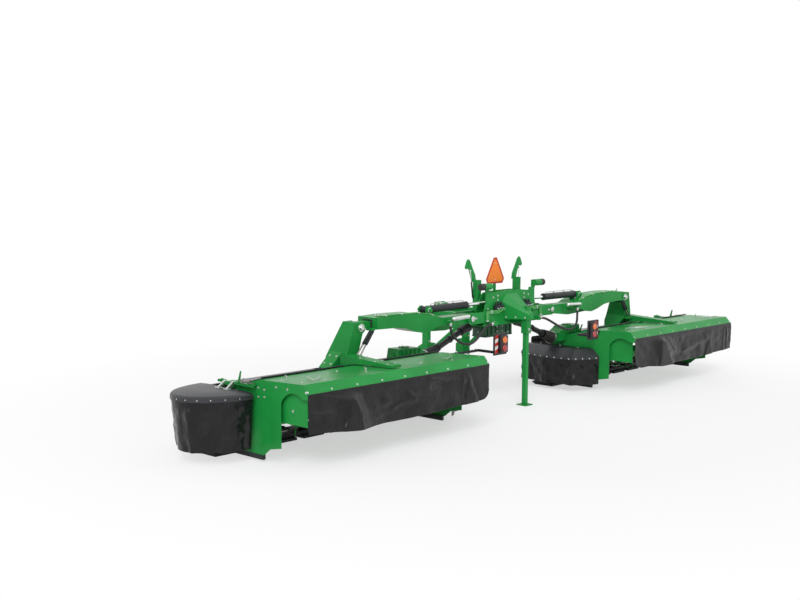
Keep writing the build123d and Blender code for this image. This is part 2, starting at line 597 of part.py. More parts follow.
# ---- inner guard: a sloping lid over a hanging cloth ----------------------------------------------
guard_edge = inner_wall_x - seat_gap
eaves = [(inner_wall_x - 328, 1790), (inner_wall_x - 450, 1285), (inner_wall_x - 400, 800), (guard_edge, 585)]
ridge = [(inner_wall_x - 200, 1790), (inner_wall_x - 295, 1285), (inner_wall_x - 260, 860), (guard_edge, 700)]
eaves_z = 505.0
ridge_z = 622.0
with BuildPart() as inner_guard:
    for inset, mode in ((0.0, Mode.ADD), (cloth, Mode.SUBTRACT)):
        low = [(x + inset, rear_y + y + (inset if y < 900 else 0)) for x, y in eaves]
        high = [(x + inset, rear_y + y + (inset if y < 900 else 0)) for x, y in ridge]
        end_y = rear_y + 1790 - inset
        low = [(low[0][0], end_y)] + low[1:] + [(guard_edge, end_y)]
        high = [(high[0][0], end_y)] + high[1:] + [(guard_edge, end_y)]
        with BuildSketch(Plane.XY.offset(cover_hem_z - inset)):
            with BuildLine():
                Polyline(*low, close=True)
            make_face()
        extrude(amount=eaves_z - cover_hem_z, mode=mode)
        with BuildSketch(Plane.XY.offset(eaves_z - inset)):
            with BuildLine():
                Polyline(*low, close=True)
            make_face()
        with BuildSketch(Plane.XY.offset(ridge_z - inset)):
            with BuildLine():
                Polyline(*high, close=True)
            make_face()
        loft(mode=mode)
    # open towards the side wall
    block((inner_wall_x - 20, inner_wall_x), (rear_y + 820, rear_y + 1790 - cloth), (cover_hem_z - 10, ridge_z - cloth),
          mode=Mode.SUBTRACT)
export_pair(inner_guard, "inner_guard")

# ---- outer guard: a half-round lid that folds up, with its cloth -----------------------------------
guard_x = outer_wall_x + 62.0
guard_y = rear_y + 1275.0
guard_reach = 655.0
guard_half = 475.0
lid_z = (690.0, 760.0)
with BuildPart() as outer_lid:
    with BuildSketch(Plane.XY.offset(lid_z[0])):
        with Locations((guard_x, guard_y)):
            Ellipse(guard_reach, guard_half)
        with Locations((guard_x - 500, guard_y)):
            Rectangle(1000, 1200, mode=Mode.SUBTRACT)
    extrude(amount=lid_z[1] - lid_z[0])
    with BuildSketch(Plane.XY.offset(lid_z[0])):
        with Locations((guard_x, guard_y)):
            Ellipse(guard_reach - 12, guard_half - 12)
        with Locations((guard_x - 500 + 12, guard_y)):
            Rectangle(1000, 1200, mode=Mode.SUBTRACT)
    extrude(amount=lid_z[1] - lid_z[0] - 10, mode=Mode.SUBTRACT)
    for y in (1155, 1298):
        rear_plate(rear_y + y, [(outer_wall_x + 45, 785), (guard_x + 90, 745), (guard_x + 90, 765),
                                (outer_wall_x + 62, 838), (outer_wall_x + 24, 838), (outer_wall_x + 20, 800)], 27)
    bar((outer_wall_x + 40, rear_y + 1140, 815), (outer_wall_x + 40, rear_y + 1340, 815), 12 + pin_gap,
        mode=Mode.SUBTRACT)
export_pair(outer_lid, "outer_lid")

with BuildPart() as outer_skirt:
    for inset, mode in ((0.0, Mode.ADD), (cloth, Mode.SUBTRACT)):
        for z, reach, half in ((cover_hem_z, 560.0, 440.0), (lid_z[0] - 0.5, 640.0, 460.0)):
            with BuildSketch(Plane.XY.offset(z)):
                with Locations((guard_x, guard_y)):
                    Ellipse(reach - inset, half - inset)
                with Locations((guard_x - 500, guard_y)):
                    Rectangle(1000, 1200, mode=Mode.SUBTRACT)
        loft(mode=mode)
export_pair(outer_skirt, "outer_skirt")

# ---- lamp board -----------------------------------------------------------------------------------
lamp_x = inner_wall_x - 620.0
lamp_y = rear_y + 310.0
lamp_z = 990.0
with BuildPart() as lamp_board:
    block((lamp_x - 130, lamp_x + 130), (lamp_y, lamp_y + 20), (lamp_z - 140, lamp_z + 140))
    block((lamp_x - 110, lamp_x + 40), (lamp_y - 45, lamp_y), (lamp_z - 110, lamp_z + 110))
    block((lamp_x + 60, lamp_x + 100), (lamp_y + 15, rear_y + 620), (870, 905))
    block((lamp_x + 60, inner_wall_x), (rear_y + 585, rear_y + 620), (870, 905))
export_pair(lamp_board, "lamp_board")
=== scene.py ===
# Rear-mounted twin-wing disc mower conditioner, parked with both wings down.
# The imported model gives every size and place; this file adds the looks.
import bpy
import bmesh
import json
from math import cos, pi, radians, sin
from mathutils import Matrix, Vector, noise

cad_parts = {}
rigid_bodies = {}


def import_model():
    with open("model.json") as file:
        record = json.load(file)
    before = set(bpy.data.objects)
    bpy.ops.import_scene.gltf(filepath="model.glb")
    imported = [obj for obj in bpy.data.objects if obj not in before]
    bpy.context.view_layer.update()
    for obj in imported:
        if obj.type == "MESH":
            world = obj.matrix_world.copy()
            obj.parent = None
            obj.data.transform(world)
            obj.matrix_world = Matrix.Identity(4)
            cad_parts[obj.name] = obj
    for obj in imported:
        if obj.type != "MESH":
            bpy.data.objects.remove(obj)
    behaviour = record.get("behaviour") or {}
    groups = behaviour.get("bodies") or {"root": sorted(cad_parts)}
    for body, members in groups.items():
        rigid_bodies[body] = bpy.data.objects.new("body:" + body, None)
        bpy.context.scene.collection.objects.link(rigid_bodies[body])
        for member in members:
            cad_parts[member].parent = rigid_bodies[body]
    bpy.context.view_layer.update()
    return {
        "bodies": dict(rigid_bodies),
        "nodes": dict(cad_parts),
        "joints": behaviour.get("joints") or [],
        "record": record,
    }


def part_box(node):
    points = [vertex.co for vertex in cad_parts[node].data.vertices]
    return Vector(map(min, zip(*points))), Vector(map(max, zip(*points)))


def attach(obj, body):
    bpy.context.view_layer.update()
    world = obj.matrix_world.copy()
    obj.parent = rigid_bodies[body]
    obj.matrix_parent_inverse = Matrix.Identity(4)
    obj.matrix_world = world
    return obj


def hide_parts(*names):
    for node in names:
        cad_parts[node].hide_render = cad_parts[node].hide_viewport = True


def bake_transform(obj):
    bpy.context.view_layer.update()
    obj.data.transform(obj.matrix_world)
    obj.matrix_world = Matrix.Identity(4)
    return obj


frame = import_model()
print("frame loaded:", len(frame["nodes"]), "nodes")

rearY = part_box("right_hood")[0][1]      # rear edge of both hoods
sides = {"right": 1, "left": -1}


def at(x, fromRear, z):
    # a point of the right wing, measured forward from the hoods' rear edge
    return Vector((x, rearY + fromRear, z))


# camera: behind the machine's left end, at about head height
camera = {"x": -12.365, "fromRear": -8.336, "z": 2.895, "yaw": 47.33, "pitch": -5.44, "roll": 0.46, "lens": 50.1}


def setCamera():
    data = bpy.data.cameras.new("rearLeftView")
    eye = bpy.data.objects.new("rearLeftView", data)
    bpy.context.scene.collection.objects.link(eye)
    turn = (Matrix.Rotation(radians(-camera["yaw"]), 3, "Z") @ Matrix.Rotation(radians(90 + camera["pitch"]), 3, "X")
            @ Matrix.Rotation(radians(camera["roll"]), 3, "Z"))
    eye.matrix_world = Matrix.Translation(at(camera["x"], camera["fromRear"], camera["z"])) @ turn.to_4x4()
    data.lens = camera["lens"]
    data.sensor_width = 36
    data.clip_end = 200
    bpy.context.scene.camera = eye


setCamera()
print("camera set")


def toLinear(colour):
    # sRGB hex to the linear values that a shader takes
    parts = [int(colour[i:i + 2], 16) / 255 for i in (1, 3, 5)]
    return [c / 12.92 if c <= 0.04045 else ((c + 0.055) / 1.055) ** 2.4 for c in parts] + [1.0]


def addNode(tree, kind, settings=None, links=None):
    # one node with its own settings, its socket values and what feeds it
    node = tree.nodes.new(kind)
    for key, value in (settings or {}).items():
        if key in node.inputs.keys() or isinstance(key, int):
            node.inputs[key].default_value = value
        else:
            setattr(node, key, value)
    for key, source in (links or {}).items():
        tree.links.new(source, node.inputs[key])
    return node


def newMaterial(name):
    # an empty material with its shader, ready for a pattern
    material = bpy.data.materials.new(name)
    material.use_nodes = True
    tree = material.node_tree
    tree.nodes.clear()
    shader = addNode(tree, "ShaderNodeBsdfPrincipled")
    addNode(tree, "ShaderNodeOutputMaterial", links={"Surface": shader.outputs["BSDF"]})
    place = addNode(tree, "ShaderNodeTexCoord")
    return material, tree, shader, place.outputs["Object"]


def grain(tree, where, mm, detail=3, rough=0.55):
    # noise whose lumps are about this many millimetres across
    return addNode(tree, "ShaderNodeTexNoise", {"Scale": 1000 / mm, "Detail": detail, "Roughness": rough},
                   {"Vector": where}).outputs["Fac"]


def span(tree, value, low, high, toLow=0.0, toHigh=1.0):
    # stretches part of a pattern's range over another range
    return addNode(tree, "ShaderNodeMapRange", {"From Min": low, "From Max": high, "To Min": toLow, "To Max": toHigh},
                   {"Value": value}).outputs["Result"]


def blendColours(tree, amount, first, second):
    # two colours, or patterns of colour, mixed by a mask
    node = addNode(tree, "ShaderNodeMix", {"data_type": "RGBA"}, {0: amount})
    for place, colour in ((6, first), (7, second)):
        if isinstance(colour, str):
            node.inputs[place].default_value = toLinear(colour)
        else:
            tree.links.new(colour, node.inputs[place])
    return node.outputs[2]


def relief(tree, shader, height, mm, strength=1.0):
    # bump whose full height is this many millimetres
    bump = addNode(tree, "ShaderNodeBump", {"Strength": strength, "Distance": mm / 1000}, {"Height": height})
    tree.links.new(bump.outputs["Normal"], shader.inputs["Normal"])


def upward(tree):
    # how far a face looks up, where dust settles
    normal = addNode(tree, "ShaderNodeNewGeometry").outputs["Normal"]
    parts = addNode(tree, "ShaderNodeSeparateXYZ", links={"Vector": normal})
    return parts.outputs["Z"]


def enamel(name, colour, deep, dust, roughness=0.3):
    # two-pack enamel sprayed over primed steel: even gloss with orange peel, a little field dust on the flats
    material, tree, shader, where = newMaterial(name)
    cloudy = span(tree, grain(tree, where, 420, 2), 0.35, 0.7)
    paint = blendColours(tree, cloudy, deep, colour)
    specks = span(tree, grain(tree, where, 26, 5, 0.7), 0.46, 0.78)
    lying = addNode(tree, "ShaderNodeMath", {"operation": "MULTIPLY", "use_clamp": True},
                    {0: span(tree, upward(tree), 0.25, 1.0, 0.0, 0.14), 1: specks})
    tree.links.new(blendColours(tree, lying.outputs[0], paint, dust), shader.inputs["Base Color"])
    tree.links.new(span(tree, specks, 0.0, 1.0, roughness, roughness + 0.16), shader.inputs["Roughness"])
    relief(tree, shader, grain(tree, where, 9, 2), 0.22)    # orange peel is 2 to 4 mm, drawn at 9 so that it shows
    shader.inputs["IOR"].default_value = 1.5
    shader.inputs["Specular IOR Level"].default_value = 0.16
    shader.inputs["Coat Weight"].default_value = 0.05
    shader.inputs["Coat Roughness"].default_value = 0.12
    return material


def castPaint(name, colour, deep):
    # enamel over sand-cast iron: the casting's coarse skin shows through
    material, tree, shader, where = newMaterial(name)
    tree.links.new(blendColours(tree, span(tree, grain(tree, where, 60, 4), 0.3, 0.75), deep, colour),
                   shader.inputs["Base Color"])
    shader.inputs["Roughness"].default_value = 0.46
    relief(tree, shader, grain(tree, where, 6, 4, 0.7), 0.9)
    return material


def coatedCloth(name, colour, worn):
    # polyester cloth coated with PVC on both faces: a soft plastic sheen over a close weave
    material, tree, shader, where = newMaterial(name)
    cut = addNode(tree, "ShaderNodeUVMap", {"uv_map": "cloth"}).outputs["UV"]
    chalk = span(tree, grain(tree, where, 180, 4, 0.6), 0.42, 0.8)
    tree.links.new(blendColours(tree, chalk, colour, worn), shader.inputs["Base Color"])
    tree.links.new(span(tree, chalk, 0.0, 1.0, 0.24, 0.42), shader.inputs["Roughness"])
    threads = []
    for direction in ("X", "Y"):    # threads lie 1 mm apart, drawn 6 mm apart so that they show
        threads.append(addNode(tree, "ShaderNodeTexWave", {"bands_direction": direction, "Scale": 1000 / 6 / 20,
                                                           "Distortion": 0.4}, {"Vector": cut}).outputs["Fac"])
    weave = addNode(tree, "ShaderNodeMath", {"operation": "ADD"}, {0: threads[0], 1: threads[1]}).outputs[0]
    buckle = span(tree, grain(tree, where, 240, 3), 0.0, 1.0, 0.0, 30.0)
    height = addNode(tree, "ShaderNodeMath", {"operation": "ADD"}, {0: weave, 1: buckle}).outputs[0]
    relief(tree, shader, height, 0.25)
    shader.inputs["IOR"].default_value = 1.52
    shader.inputs["Specular IOR Level"].default_value = 0.24
    return material


def mouldedPlastic(name, colour, roughness=0.48, pebble=5):
    # rotation-moulded polyethylene or ABS with a spark-eroded pebble on its face
    material, tree, shader, where = newMaterial(name)
    tree.links.new(blendColours(tree, span(tree, grain(tree, where, 150, 3), 0.35, 0.75), colour[0], colour[1]),
                   shader.inputs["Base Color"])
    shader.inputs["Roughness"].default_value = roughness
    pebbles = addNode(tree, "ShaderNodeTexVoronoi", {"Scale": 1000 / pebble}, {"Vector": where}).outputs["Distance"]
    relief(tree, shader, pebbles, 0.18)
    shader.inputs["IOR"].default_value = 1.5
    return material


def plating(name, colour, roughness, stain=None):
    # plated or bare metal: the drawn or ground surface streaks the shine
    material, tree, shader, where = newMaterial(name)
    shader.inputs["Metallic"].default_value = 1.0
    streaks = grain(tree, where, 14, 4, 0.7)
    if stain:
        patches = span(tree, grain(tree, where, 45, 5, 0.65), 0.5, 0.72)
        tree.links.new(blendColours(tree, patches, colour, stain), shader.inputs["Base Color"])
    else:
        shader.inputs["Base Color"].default_value = toLinear(colour)
    tree.links.new(span(tree, streaks, 0.3, 0.7, roughness, roughness + 0.14), shader.inputs["Roughness"])
    relief(tree, shader, streaks, 0.05)
    return material


def rubber(name, colour):
    # vulcanised rubber, dull and slightly bloomed
    material, tree, shader, where = newMaterial(name)
    tree.links.new(blendColours(tree, span(tree, grain(tree, where, 35, 3), 0.4, 0.8), colour, "#34332f"),
                   shader.inputs["Base Color"])
    shader.inputs["Roughness"].default_value = 0.58
    relief(tree, shader, grain(tree, where, 4, 2), 0.15)
    return material


def wovenSleeve(name, colour, worn):
    # flat nylon yarn woven into a tube: a dull basket pattern of 3 mm, drawn at 7 mm so that it shows
    material, tree, shader, where = newMaterial(name)
    yarns = addNode(tree, "ShaderNodeTexVoronoi", {"distance": "CHEBYCHEV", "Scale": 1000 / 7, "Randomness": 0.15},
                    {"Vector": where}).outputs["Distance"]
    tree.links.new(blendColours(tree, span(tree, yarns, 0.1, 0.7), worn, colour), shader.inputs["Base Color"])
    shader.inputs["Roughness"].default_value = 0.62
    relief(tree, shader, yarns, 0.8)
    return material


def lens(name, colour, deep):
    # injection-moulded acrylic lens with small prisms behind a polished face
    material, tree, shader, where = newMaterial(name)
    prisms = addNode(tree, "ShaderNodeTexVoronoi", {"Scale": 1000 / 9}, {"Vector": where}).outputs["Distance"]
    tree.links.new(blendColours(tree, span(tree, prisms, 0.0, 0.7), colour, deep), shader.inputs["Base Color"])
    shader.inputs["Roughness"].default_value = 0.16
    relief(tree, shader, prisms, 0.5)
    shader.inputs["Coat Weight"].default_value = 0.6
    shader.inputs["IOR"].default_value = 1.49
    return material


def reflectiveFilm(name, colour, deep):
    # fluorescent film over a honeycomb of glass beads
    material, tree, shader, where = newMaterial(name)
    cells = addNode(tree, "ShaderNodeTexVoronoi", {"feature": "DISTANCE_TO_EDGE", "Scale": 1000 / 14},
                    {"Vector": where}).outputs["Distance"]
    tree.links.new(blendColours(tree, span(tree, cells, 0.0, 0.12), deep, colour), shader.inputs["Base Color"])
    shader.inputs["Roughness"].default_value = 0.34
    return material


finish = {
    "green": enamel("greenEnamelOnSteel", "#219442", "#19873a", "#62a556"),
    "paleGreen": enamel("greenEnamelPipe", "#69b56c", "#4fa257", "#9db182", 0.26),
    "black": enamel("blackEnamelOnSteel", "#33363a", "#26282b", "#6d6a5f", 0.34),
    "casting": castPaint("enamelOnCastIron", "#21603a", "#173f28"),
    "cloth": coatedCloth("pvcCoatedPolyester", "#161517", "#262527"),
    "lidPlastic": mouldedPlastic("rotomouldedPolyethylene", ("#2b2c31", "#232428"), 0.42),
    "blackPlastic": mouldedPlastic("blackAbs", ("#222326", "#18191b"), 0.5, 3),
    "zinc": plating("zincPlatedSteel", "#cfd3cf", 0.3),
    "chrome": plating("hardChromeRod", "#dfe2e4", 0.08),
    "steel": plating("bareSpringSteel", "#8d8b87", 0.36, "#5b4d42"),
    "rubber": rubber("blackRubber", "#1d1c1c"),
    "sleeve": wovenSleeve("wovenNylonSleeve", "#1b1b1c", "#2f2e2e"),
    "amber": lens("amberAcrylicLens", "#ff8a1e", "#d85a06"),
    "red": lens("redAcrylicLens", "#d81a17", "#8f0d0d"),
    "orange": reflectiveFilm("fluorescentOrangeFilm", "#ff8a12", "#f5760a"),
    "redFilm": reflectiveFilm("redReflectiveFilm", "#c8261d", "#9c1813"),
    "whiteFilm": reflectiveFilm("whiteReflectiveFilm", "#ece9e2", "#cfccc4"),
}
print("materials ready:", len(finish))


# soft daylight studio: a bright dome, a wide sun low on the left and a weak one against it;
# each sun has a strength, an angular width, and how far it is tilted and turned
light = {"sky": 0.50, "suns": {"keySun": (1.75, 30, 52, -50), "fillSun": (0.25, 60, 50, 60)},
         "floor": ("#fcfcfd", "#f7f7f8"), "floorReach": 90, "floorRoughness": 0.85,
         "fadeFrom": 4.0, "fadeTo": 7.5, "fadeShares": (0.58, 1.0)}


def straightRays(tree):
    # the rays which see the studio plain white: straight to the eye, mirrored, or through clear film
    rays = addNode(tree, "ShaderNodeLightPath").outputs
    seen = rays["Is Camera Ray"]
    for kind in ("Is Glossy Ray", "Is Transmission Ray"):
        seen = addNode(tree, "ShaderNodeMath", {"operation": "MAXIMUM"}, {0: seen, 1: rays[kind]}).outputs[0]
    return seen


def setLight():
    scene = bpy.context.scene
    scene.view_settings.view_transform = "Standard"
    world = bpy.data.worlds.new("studioSky")
    world.use_nodes = True
    scene.world = world
    tree = world.node_tree
    tree.nodes.clear()
    dome, backdrop = (addNode(tree, "ShaderNodeBackground", {"Color": (1, 1, 1, 1), "Strength": strength}).outputs[0]
                      for strength in (light["sky"], 1.0))
    mixed = addNode(tree, "ShaderNodeMixShader", links={0: straightRays(tree), 1: dome, 2: backdrop})
    addNode(tree, "ShaderNodeOutputWorld", links={"Surface": mixed.outputs[0]})
    for name, (strength, width, pitch, turn) in light["suns"].items():
        lamp = bpy.data.lights.new(name, "SUN")
        lamp.energy = strength
        lamp.angle = radians(width)
        sun = bpy.data.objects.new(name, lamp)
        sun.rotation_euler = (radians(pitch), 0, radians(turn))
        scene.collection.objects.link(sun)


def setFloor():
    # matt painted floor, which fades into the white backdrop as the eye goes away from the machine
    material, tree, shader, where = newMaterial("paintedStudioFloor")
    tree.links.new(blendColours(tree, grain(tree, where, 900, 3), *light["floor"]), shader.inputs["Base Color"])
    shader.inputs["Roughness"].default_value = light["floorRoughness"]
    away = addNode(tree, "ShaderNodeVectorMath", {"operation": "LENGTH"}, {0: where}).outputs["Value"]
    fade = span(tree, away, light["fadeFrom"], light["fadeTo"], *light["fadeShares"])
    share = addNode(tree, "ShaderNodeMath", {"operation": "MULTIPLY"}, {0: straightRays(tree), 1: fade}).outputs[0]
    white = addNode(tree, "ShaderNodeEmission", {"Color": (1, 1, 1, 1), "Strength": 1.0})
    mixed = addNode(tree, "ShaderNodeMixShader", links={0: share, 1: shader.outputs[0], 2: white.outputs[0]})
    tree.links.new(mixed.outputs[0], tree.nodes["Material Output"].inputs["Surface"])
    bm = bmesh.new()
    bmesh.ops.create_grid(bm, x_segments=1, y_segments=1, size=light["floorReach"])
    mesh = bpy.data.meshes.new("floor")
    bm.to_mesh(mesh)
    bm.free()
    mesh.materials.append(material)
    floor = bpy.data.objects.new("floor", mesh)
    bpy.context.scene.collection.objects.link(floor)


setLight()
setFloor()
print("light and floor set")

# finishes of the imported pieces
nodeFinish = {
    "centre_frame": "green", "headstock": "green", "gearbox": "casting", "transport_hooks": "green",
    "slow_sign": "orange", "front_stand": "green", "rear_stand": "green", "arm": "green", "slide_tube": "green",
    "lift_barrel": "black", "lift_rod": "chrome", "drive_shaft": "blackPlastic", "shaft_boot": "rubber",
    "unit_frame": "green", "hood": "green", "side_walls": "green", "rotor": "green", "cutterbar": "black",
    "front_cover": "cloth", "rear_curtain": "cloth", "inner_guard": "cloth", "outer_lid": "lidPlastic",
    "outer_skirt": "cloth", "lamp_board": "blackPlastic", "hose": "rubber",
}
for name, node in frame["nodes"].items():
    kind = name.removeprefix("right_").removeprefix("left_")
    chosen = finish["steel" if kind.startswith("disc_") else nodeFinish[kind]]
    node.data.materials.clear()
    node.data.materials.append(chosen)
print("packed pieces finished")


def addBox(bm, low, high, edge=0.0, segments=2):
    # a block between two corners, its edges eased
    low, high = Vector(low), Vector(high)
    verts = bmesh.ops.create_cube(bm, size=1)["verts"]
    bmesh.ops.scale(bm, vec=high - low, verts=verts)
    bmesh.ops.translate(bm, vec=(low + high) / 2, verts=verts)
    if edge:
        bmesh.ops.bevel(bm, geom=list({e for v in verts for e in v.link_edges}), offset=edge, offset_type="OFFSET",
                        segments=segments, profile=0.5, affect="EDGES", material=-1)


def addRod(bm, start, end, radius, tip=None, segments=24, edge=0.0):
    # a round bar between two points, or a cone where the tip's radius differs
    start, end = Vector(start), Vector(end)
    way = end - start
    turn = way.to_track_quat("Z", "Y").to_matrix().to_4x4()
    verts = bmesh.ops.create_cone(bm, cap_ends=True, segments=segments, radius1=radius,
                                  radius2=radius if tip is None else tip, depth=way.length,
                                  matrix=Matrix.Translation((start + end) / 2) @ turn)["verts"]
    if edge:
        rims = {e for v in verts for e in v.link_edges if any(len(f.verts) > 4 for f in e.link_faces)}
        bmesh.ops.bevel(bm, geom=list(rims), offset=edge, offset_type="OFFSET", segments=2, profile=0.5,
                        affect="EDGES", material=-1)


def addPlate(bm, outline, through, edge=0.0):
    # a flat plate: its outline in space, and the way that it is thick
    face = bm.faces.new([bm.verts.new(p) for p in outline])
    made = bmesh.ops.extrude_face_region(bm, geom=[face])["geom"]
    far = [v for v in made if isinstance(v, bmesh.types.BMVert)]
    bmesh.ops.translate(bm, vec=Vector(through), verts=far)
    if edge:
        rims = {e for v in far + list(face.verts) for e in v.link_edges}
        bmesh.ops.bevel(bm, geom=list(rims), offset=edge, offset_type="OFFSET", segments=2, profile=0.5,
                        affect="EDGES", material=-1)


def lineOf(points, radius=0.0, smooth=True, detail=8):
    # a mesh along a smooth line through space, bare or as a round tube
    data = bpy.data.curves.new("line", "CURVE")
    data.dimensions = "3D"
    data.resolution_u = detail
    data.bevel_depth = radius
    data.bevel_resolution = 3
    data.use_fill_caps = True
    spline = data.splines.new("NURBS" if smooth else "POLY")
    spline.points.add(len(points) - 1)
    for point, spot in zip(spline.points, points):
        point.co = (*spot, 1)
    if smooth:
        spline.order_u = 3
        spline.use_endpoint_u = True
    maker = bpy.data.objects.new("line", data)
    mesh = bpy.data.meshes.new_from_object(maker)
    bpy.data.objects.remove(maker)
    return mesh


def addPipe(bm, points, radius, smooth=True):
    # a bent pipe or wire
    mesh = lineOf(points, radius, smooth)
    bm.from_mesh(mesh)
    bpy.data.meshes.remove(mesh)


def addTurned(bm, profile, base, way, segments=32, closed=False):
    # a round thing turned about its own line: its profile as distances along it and radii
    turned = bmesh.new()
    spots = [turned.verts.new((radius, 0, along)) for along, radius in profile]
    edges = [turned.edges.new(pair) for pair in zip(spots, spots[1:] + (spots[:1] if closed else []))]
    bmesh.ops.spin(turned, geom=spots + edges, cent=(0, 0, 0), axis=(0, 0, 1), angle=2 * pi, steps=segments,
                   use_merge=True)
    bmesh.ops.remove_doubles(turned, verts=turned.verts, dist=1e-5)
    turn = Vector(way).to_track_quat("Z", "Y").to_matrix().to_4x4()
    bmesh.ops.transform(turned, matrix=Matrix.Translation(Vector(base)) @ turn, verts=turned.verts)
    mesh = bpy.data.meshes.new("turned")
    turned.to_mesh(mesh)
    turned.free()
    bm.from_mesh(mesh)
    bpy.data.meshes.remove(mesh)


def addRing(bm, centre, ring, wire, normal=(0, 1, 0)):
    # a closed ring of wire
    section = [(wire * sin(2 * pi * i / 10), ring + wire * cos(2 * pi * i / 10)) for i in range(10)]
    addTurned(bm, section, centre, normal, 28, closed=True)


def addBolt(bm, head, way, across=0.019, tall=0.008):
    # hexagon head on a washer, the way it looks
    head, way = Vector(head), Vector(way).normalized()
    addRod(bm, head - way * 0.001, head + way * 0.002, across * 0.82, segments=16)
    addRod(bm, head + way * 0.002, head + way * (0.002 + tall), across * 0.56, across * 0.5, segments=6)
    addRod(bm, head + way * (0.002 + tall), head + way * (0.006 + tall), across * 0.26, segments=10)


def showMesh(name, bm, look):
    # a finished shape becomes a visible object
    mesh = bpy.data.meshes.new(name)
    bm.to_mesh(mesh)
    bm.free()
    mesh.materials.append(finish[look])
    mesh.shade_smooth()
    piece = bpy.data.objects.new(name, mesh)
    bpy.context.scene.collection.objects.link(piece)
    return piece


def newPiece(name, bm, look, body, side="right", smooth=35):
    # a finished mesh becomes a piece that rides on its body; the left wing mirrors the right
    if side == "left":
        bmesh.ops.scale(bm, vec=(-1, 1, 1), verts=bm.verts)
    bmesh.ops.remove_doubles(bm, verts=bm.verts, dist=1e-6)
    bmesh.ops.recalc_face_normals(bm, faces=bm.faces)
    piece = showMesh(name, bm, look)
    piece.data.set_sharp_from_angle(angle=radians(smooth))
    if body:
        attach(piece, body)
    return piece


def addPiece(name, bm, look, body, side="right", smooth=35, replaces=None):
    # a piece with its finish, which may stand for an imported piece that it then hides
    piece = newPiece(name, bm, look, body, side, smooth)
    if replaces:
        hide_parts(replaces)


# hoses to the arms: two lines in one woven sleeve of 34 mm, which hang from the frame in a slack bend
hoses = {"radius": 0.017, "length": 1.173, "ferrule": 0.021,
         "route": [(0.53, 0.86, 1.16), (0.64, 0.86, 1.16), (0.80, 0.83, 1.085), (0.96, 0.79, 0.995),
                   (1.13, 0.76, 0.945),
                   (1.29, 0.765, 0.965), (1.40, 0.80, 1.04), (1.455, 0.835, 1.14), (1.455, 0.835, 1.25)]}


def makeHose(side):
    hand = sides[side]
    route = [at(x * hand, y, z) for x, y, z in hoses["route"]]
    line = lineOf(route, detail=12)
    mesh = lineOf(route, hoses["radius"], detail=12)
    mesh.name = side + "Sleeve"
    mesh.materials.append(finish["sleeve"])
    mesh.shade_smooth()
    sleeve = bpy.data.objects.new(side + "HoseSleeve", mesh)
    bpy.context.scene.collection.objects.link(sleeve)
    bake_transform(sleeve)
    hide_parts(side + "_hose")
    for body, first, second in (("centre", 0, 1), (side + "_arm", -1, -2)):
        bm = bmesh.new()
        way = (route[second] - route[first]).normalized()
        addRod(bm, route[first] - way * 0.004, route[first] + way * 0.045, hoses["ferrule"], segments=20, edge=0.002)
        addRod(bm, route[first] - way * 0.006, route[first] + way * 0.012, hoses["ferrule"] * 1.25, segments=6)
        newPiece(side + ("InnerFerrule" if first == 0 else "ArmFerrule"), bm, "zinc", body)


for side in sides:
    makeHose(side)
print("hoses made")


def clothGrid(columns, rows, width, length):
    # a flat cut of cloth whose UV map is in metres, width along u and length down v
    bm = bmesh.new()
    layer = bm.loops.layers.uv.new("cloth")
    bmesh.ops.create_grid(bm, x_segments=columns, y_segments=rows, size=1)
    reach = max(v.co.x for v in bm.verts)
    for v in bm.verts:
        v.co = ((v.co.x / reach + 1) / 2 * width, (1 - v.co.y / reach) / 2 * length, 0)
    for face in bm.faces:
        for loop in face.loops:
            loop[layer].uv = (loop.vert.co.x, loop.vert.co.y)
    return bm


def drift(s, t, seed, size):
    # slack waves of about this size in metres
    return noise.noise(Vector((s / size, t / size, seed)))


def foldDepth(s, t, folds):
    # how far creases lift the cloth at a place of its own plane; each is a line, a width and a height
    depth = 0.0
    for startS, startT, endS, endT, width, height in folds:
        along = Vector((endS - startS, endT - startT))
        off = Vector((s - startS, t - startT))
        share = min(max(off.dot(along) / along.length_squared, 0), 1)
        gap = (off - along * share).length / width
        if gap < 1:
            depth += height * (1 - gap) ** 1.4 * (0.55 + 0.45 * sin(pi * min(share + 0.25, 1)))
    return depth


def facetDepth(s, t, facets):
    # flat triangles that stand out towards the hem: apex, the two feet, how far down the feet are, height
    depth = 0.0
    for apexS, apexT, lowS, highS, footT, height in facets:
        share = (t - apexT) / (footT - apexT)
        inside = min(s - apexS - (lowS - apexS) * share, apexS + (highS - apexS) * share - s) / 0.02
        if share > 0 and inside > 0:
            depth += height * share * min(inside, 1)
    return depth


def between(table, where):
    # straight steps between listed places
    for (a, first), (b, second) in zip(table, table[1:]):
        if where <= b:
            return first + (second - first) * (where - a) / (b - a)
    return table[-1][1]


def startsOf(path):
    # how far along a path each of its points lies
    starts = [0.0]
    for first, second in zip(path, path[1:]):
        starts.append(starts[-1] + (second - first).length)
    return starts


def placeOn(path, starts, where):
    # the leg of a path that this place is on, the point there, and the way the leg runs
    leg = max(i for i in range(len(path) - 1) if starts[i] <= where + 1e-6)
    along = (path[leg + 1] - path[leg]).normalized()
    return leg, path[leg] + along * (where - starts[leg]), along


def ridges(s, share, corners, topShare):
    # upright corners between hanging panels, sharper towards the hem; each is a place, a height and a reach
    return sum(height * max(0, 1 - abs(s - middle) / reach) ** 1.3 * (topShare + (1 - topShare) * share)
               for middle, height, reach in corners)


def hangCloth(name, bm, body, node, thickness, levels=1):
    # the moved cut becomes a sheet with its real thickness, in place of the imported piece
    bmesh.ops.recalc_face_normals(bm, faces=bm.faces)
    piece = showMesh(name, bm, "cloth")
    thick = piece.modifiers.new("thickness", "SOLIDIFY")
    thick.thickness = thickness
    thick.offset = 0
    if levels:
        soft = piece.modifiers.new("soft", "SUBSURF")
        soft.levels = soft.render_levels = levels
    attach(piece, body)
    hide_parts(node)
    return piece


